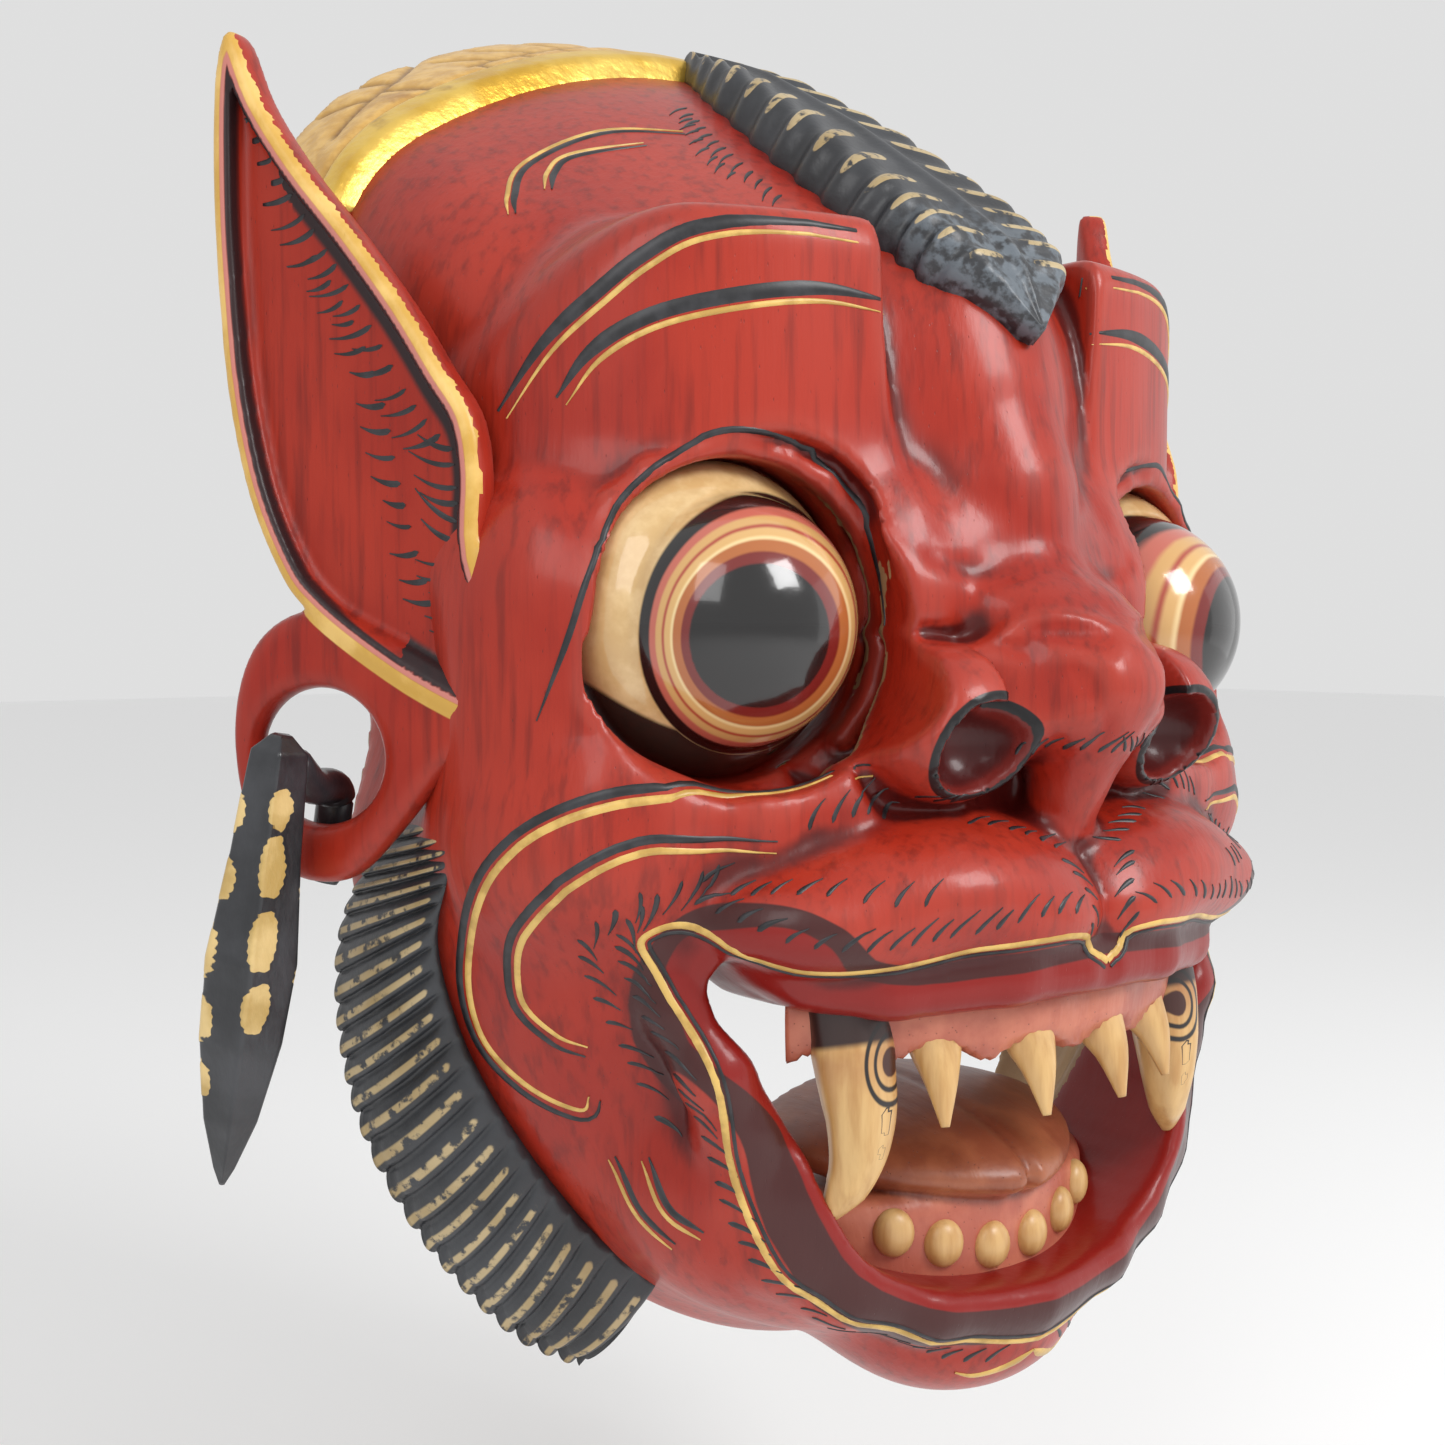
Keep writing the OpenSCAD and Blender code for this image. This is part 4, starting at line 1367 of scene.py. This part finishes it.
def red_ground(p):
    """Brushed red with pores and lighter red on its convex edges; also the mask of painted shade that
    darkens its hollows, and its grain.
    """
    cloudy = p.noise(28, (1, 1, 0.6), 5)
    brush = p.noise(420, (1, 1, 0.07), 3)
    colour = p.mix(p.between(cloudy, 0.35, 0.65), RED, RED_LIGHT)
    colour = p.mix(p.times(p.between(brush, 0.45, 0.75), 0.45), colour, RED_DARK)
    hollow = p.value("hollow")
    # Lighter red on the convex edges.
    worn = p.times(p.between(hollow, -0.03, -0.3), 0.25)
    colour = p.mix(worn, colour, (0.46, 0.085, 0.060))
    # Painted shade: crease depth, with a little cloudy variation, marks where the red is darkened.
    hollow_shade = p.plus(hollow, p.times(cloudy, 0.12))
    pores = p.pores(900, (1, 1, 0.25), 0.12)
    colour = p.mix(p.times(pores, 0.7), colour, (0.05, 0.004, 0.004))
    grain = p.plus(p.times(brush, 0.6), p.times(pores, -0.5))
    return colour, hollow_shade, grain


def face_lacquer():
    p = Paint("face_lacquer", coat=0.22, coat_rough=0.16, gloss=0.28)
    colour, hollow_shade, grain = red_ground(p)
    lip = p.value("lip")
    colour = p.mix(p.between(lip, 12.2, 11.8), colour, PLUM)
    colour = p.mix(p.between(p.minus(lip, p.value("lip_near")), 0.2, -0.2), colour, LIP_RED)
    nostril = p.value("nostril")
    colour = p.mix(p.between(nostril, 2.3, 2.0), colour, (0.012, 0.011, 0.012))
    colour = p.mix(p.between(nostril, 0.55, 0.30), colour, (0.17, 0.016, 0.012))
    inner = p.between(p.value("inside"), 0.4, 0.6)
    # Painted shade: darker red laid in the hollows and creases.
    colour = p.mix(p.times(p.between(hollow_shade, 0.10, 0.40), 0.85), colour, RED_DARK)
    wood = p.mix(p.between(p.noise(40, (1, 1, 0.12), 5), 0.35, 0.65), (0.40, 0.25, 0.12), (0.28, 0.16, 0.07))
    colour = p.mix(inner, colour, wood)
    p.bump(grain, 0.35, 0.0006)
    rough = p.plus(p.times(p.noise(28, (1, 1, 0.6), 5), 0.25), 0.24)
    return p.finish(colour, p.plus(rough, p.times(inner, 0.3)))


def ear_lacquer():
    p = Paint("ear_lacquer", coat=0.12, coat_rough=0.2, gloss=0.28)
    colour, hollow_shade, grain = red_ground(p)
    blade = p.value("blade")
    band = p.times(p.between(blade, -2.8, -2.4), p.between(blade, 0.9, 0.5))
    pink = p.minus(p.between(blade, -3.8, -3.4), p.between(blade, -2.8, -2.4))
    line = p.minus(p.between(blade, -4.9, -4.6), p.between(blade, -3.8, -3.4))
    worn = p.noise(60, detail=5)
    gold = p.mix(p.between(worn, 0.4, 0.62), (0.62, 0.36, 0.07), (0.80, 0.52, 0.16))
    colour = p.mix(p.times(pink, 0.85), colour, (0.62, 0.24, 0.20))
    colour = p.mix(p.times(line, 0.95), colour, (0.012, 0.012, 0.014))
    colour = p.mix(band, colour, gold)
    p.bump(grain, 0.35, 0.0006)
    return p.finish(colour, p.plus(p.times(worn, 0.2), 0.26))


def eye_paint():
    p = Paint("eye_paint", rough=0.16, coat=0.6, coat_rough=0.05)
    ring = p.value("ring")
    streaks = p.noise(160)
    cream = p.mix(p.between(streaks, 0.35, 0.7), (0.62, 0.40, 0.17), (0.76, 0.54, 0.27))
    colour = cream
    wobble = p.plus(ring, p.times(p.plus(p.noise(45), -0.5), 0.7))
    for reach, paint in ((24.6, (0.010, 0.008, 0.008)), (22.4, (0.52, 0.13, 0.09)),
                         (21.0, (0.62, 0.36, 0.13)), (19.6, (0.40, 0.07, 0.04)),
                         (19.0, (0.66, 0.40, 0.15)), (17.6, (0.80, 0.60, 0.30)),
                         (17.0, (0.42, 0.13, 0.035)), (15.0, (0.17, 0.015, 0.012)),
                         (13.0, (0.008, 0.007, 0.007))):
        colour = p.mix(p.between(wobble, reach + 0.3, reach - 0.3), colour, paint)
    # Painted shade: a dark crescent on the lower part of the ball, outside the black ring, stands for the
    # shaded slot under the eye.
    lower = p.plus(p.value("below"), p.times(p.plus(ring, -24.6), 0.6))
    shade = p.times(p.between(ring, 24.4, 24.8), p.between(lower, 19, 20.5))
    colour = p.mix(shade, colour, (0.020, 0.018, 0.014))
    p.bump(streaks, 0.12, 0.0006)
    return p.finish(colour, p.plus(p.times(streaks, 0.12), 0.10))


def tooth_paint():
    p = Paint("tooth_paint", rough=0.38, coat=0.15, coat_rough=0.25)
    grain = p.noise(300, (1, 1, 0.12), 4)
    cloudy = p.noise(70)
    colour = p.mix(p.between(grain, 0.35, 0.7), (0.66, 0.42, 0.17), (0.50, 0.27, 0.09))
    along = p.value("along")
    wash = p.times(p.between(along, 0.42, 0.12), p.between(cloudy, 0.3, 0.6))
    colour = p.mix(p.times(wash, 0.6), colour, (0.34, 0.12, 0.045))
    colour = p.mix(p.between(along, 0.16, 0.13), colour, (0.03, 0.012, 0.010))
    mark = p.value("mark")
    for far, near, paint in ((6.6, 5.7, (0.014, 0.010, 0.010)), (4.4, 3.6, (0.014, 0.010, 0.010)),
                             (2.2, -1.0, (0.05, 0.012, 0.008))):
        inside = p.times(p.between(mark, far + 0.2, far - 0.2), p.between(mark, near - 0.2, near + 0.2))
        colour = p.mix(inside, colour, paint)
    # Painted shade: darker brown in the tooth's hollows.
    hollow = p.value("hollow")
    colour = p.mix(p.times(p.between(hollow, 0.03, 0.2), 0.7), colour, (0.16, 0.05, 0.02))
    p.bump(grain, 0.25, 0.0005)
    return p.finish(colour)


def gum_paint():
    p = Paint("gum_paint", rough=0.42, coat=0.2, coat_rough=0.25)
    cloudy = p.noise(90, detail=5)
    brush = p.noise(380, (1, 0.3, 0.3), 3)
    pink = p.mix(p.between(cloudy, 0.35, 0.65), (0.55, 0.17, 0.10), (0.42, 0.10, 0.06))
    brown = p.mix(p.between(cloudy, 0.3, 0.65), (0.36, 0.11, 0.045), (0.24, 0.06, 0.025))
    colour = p.mix(p.value("seam"), pink, brown)
    pores = p.pores(700, (1, 1, 1), 0.16)
    colour = p.mix(p.times(pores, 0.6), colour, (0.06, 0.015, 0.01))
    # Painted shade: darker red in the hollows of the gum and tongue.
    hollow = p.value("hollow")
    colour = p.mix(p.times(p.between(hollow, 0.03, 0.25), 0.7), colour, (0.10, 0.015, 0.01))
    p.bump(p.minus(brush, pores), 0.4, 0.0006)
    return p.finish(colour)


def gold_leaf():
    p = Paint("gold_leaf", rough=0.34)
    worn = p.noise(55, detail=6)
    fine = p.noise(260)
    dull = p.mix(p.between(fine, 0.35, 0.65), (0.55, 0.31, 0.07), (0.68, 0.42, 0.12))
    bright = p.mix(p.between(worn, 0.35, 0.6), (0.72, 0.42, 0.05), (0.88, 0.60, 0.13))
    colour = p.mix(p.value("bright"), dull, bright)
    colour = p.mix(p.times(p.between(worn, 0.60, 0.72), 0.5), colour, (0.20, 0.06, 0.02))
    colour = p.mix(p.times(p.value("vein"), 0.75), colour, (0.16, 0.07, 0.02))
    # Painted shade: darker brown in the hollows of the gilding.
    hollow = p.value("hollow")
    colour = p.mix(p.times(p.between(hollow, 0.04, 0.3), 0.7), colour, (0.13, 0.05, 0.015))
    p.link(p.times(p.value("bright"), 0.75), p.shader.inputs["Metallic"])
    p.bump(p.plus(fine, worn), 0.5, 0.0007)
    return p.finish(colour, p.plus(p.times(worn, 0.25), 0.22))


def black_paint():
    p = Paint("black_paint", rough=0.4, coat=0.2, coat_rough=0.3)
    cloudy = p.noise(50, detail=5)
    fine = p.noise(330)
    colour = p.mix(p.between(cloudy, 0.35, 0.7), (0.016, 0.017, 0.020), (0.035, 0.038, 0.044))
    # Patchy blue-grey on the black towards the front tip of the forelock.
    blue_grey_tip = p.times(p.value("blue_grey_tip"), p.between(fine, 0.42, 0.6))
    colour = p.mix(p.times(blue_grey_tip, 0.7), colour, (0.16, 0.19, 0.22))
    ridge = p.times(p.between(p.value("ridge"), 0.91, 0.97), p.between(fine, 0.38, 0.50))
    gold = p.mix(p.between(cloudy, 0.4, 0.6), (0.42, 0.30, 0.13), (0.55, 0.42, 0.22))
    colour = p.mix(p.times(ridge, 0.85), colour, gold)
    p.bump(fine, 0.4, 0.0006)
    return p.finish(colour, p.plus(p.times(cloudy, 0.3), 0.28))


def earring_paint():
    p = Paint("earring_paint", rough=0.36, coat=0.3, coat_rough=0.2)
    cloudy = p.noise(60, detail=5)
    fine = p.noise(300, (1, 1, 0.5), 4)
    colour = p.mix(p.between(cloudy, 0.35, 0.7), (0.014, 0.015, 0.018), (0.040, 0.042, 0.048))
    patch = p.between(p.plus(p.value("gold"), p.plus(fine, -0.5)), 0.55, 0.65)
    gold = p.mix(p.between(cloudy, 0.4, 0.6), (0.50, 0.33, 0.10), (0.72, 0.52, 0.22))
    colour = p.mix(patch, colour, gold)
    p.bump(p.plus(fine, p.times(patch, 0.4)), 0.4, 0.0006)
    return p.finish(colour, p.plus(p.times(cloudy, 0.25), 0.22))


def raw_wood():
    p = Paint("raw_wood", rough=0.62)
    rings = p.noise(40, (1, 1, 0.12), 5)
    fine = p.noise(500, (1, 1, 0.06), 3)
    colour = p.mix(p.between(rings, 0.35, 0.65), (0.42, 0.27, 0.13), (0.30, 0.17, 0.075))
    colour = p.mix(p.times(p.between(fine, 0.5, 0.75), 0.5), colour, (0.16, 0.08, 0.03))
    p.bump(fine, 0.4, 0.0005)
    return p.finish(colour)


def line_paint(name, light, dark, rough):
    p = Paint(name, rough=rough)
    worn = p.noise(180)
    colour = p.mix(p.between(worn, 0.38, 0.62), light, dark)
    p.bump(worn, 0.3, 0.0003)
    return p.finish(colour)


face_shape = make_face(face_lacquer())
make_eyes(eye_paint())
ear_shape = make_ears(ear_lacquer())
make_earrings(earring_paint())
make_headband(gold_leaf())
BLACK_PAINT = black_paint()
make_forelock(BLACK_PAINT)
make_fringes(BLACK_PAINT)
make_teeth(tooth_paint())
make_gums(gum_paint())

LINE_GOLD = line_paint("line_gold", (0.72, 0.47, 0.13), (0.50, 0.30, 0.07), 0.34)
LINE_BLACK = line_paint("line_black", (0.012, 0.012, 0.014), (0.030, 0.030, 0.034), 0.4)
paint_lines(face_shape, LINE_GOLD, LINE_BLACK)
paint_ears(ear_shape, LINE_BLACK)

# The hanger block and the dowels keep the CAD's own shapes.
RAW_WOOD = raw_wood()
for node_name in ("hanger_block", "ear_dowels_right", "ear_dowels_left"):
    node_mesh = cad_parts[node_name].data
    node_mesh.materials.clear()
    node_mesh.materials.append(RAW_WOOD)


make_studio()
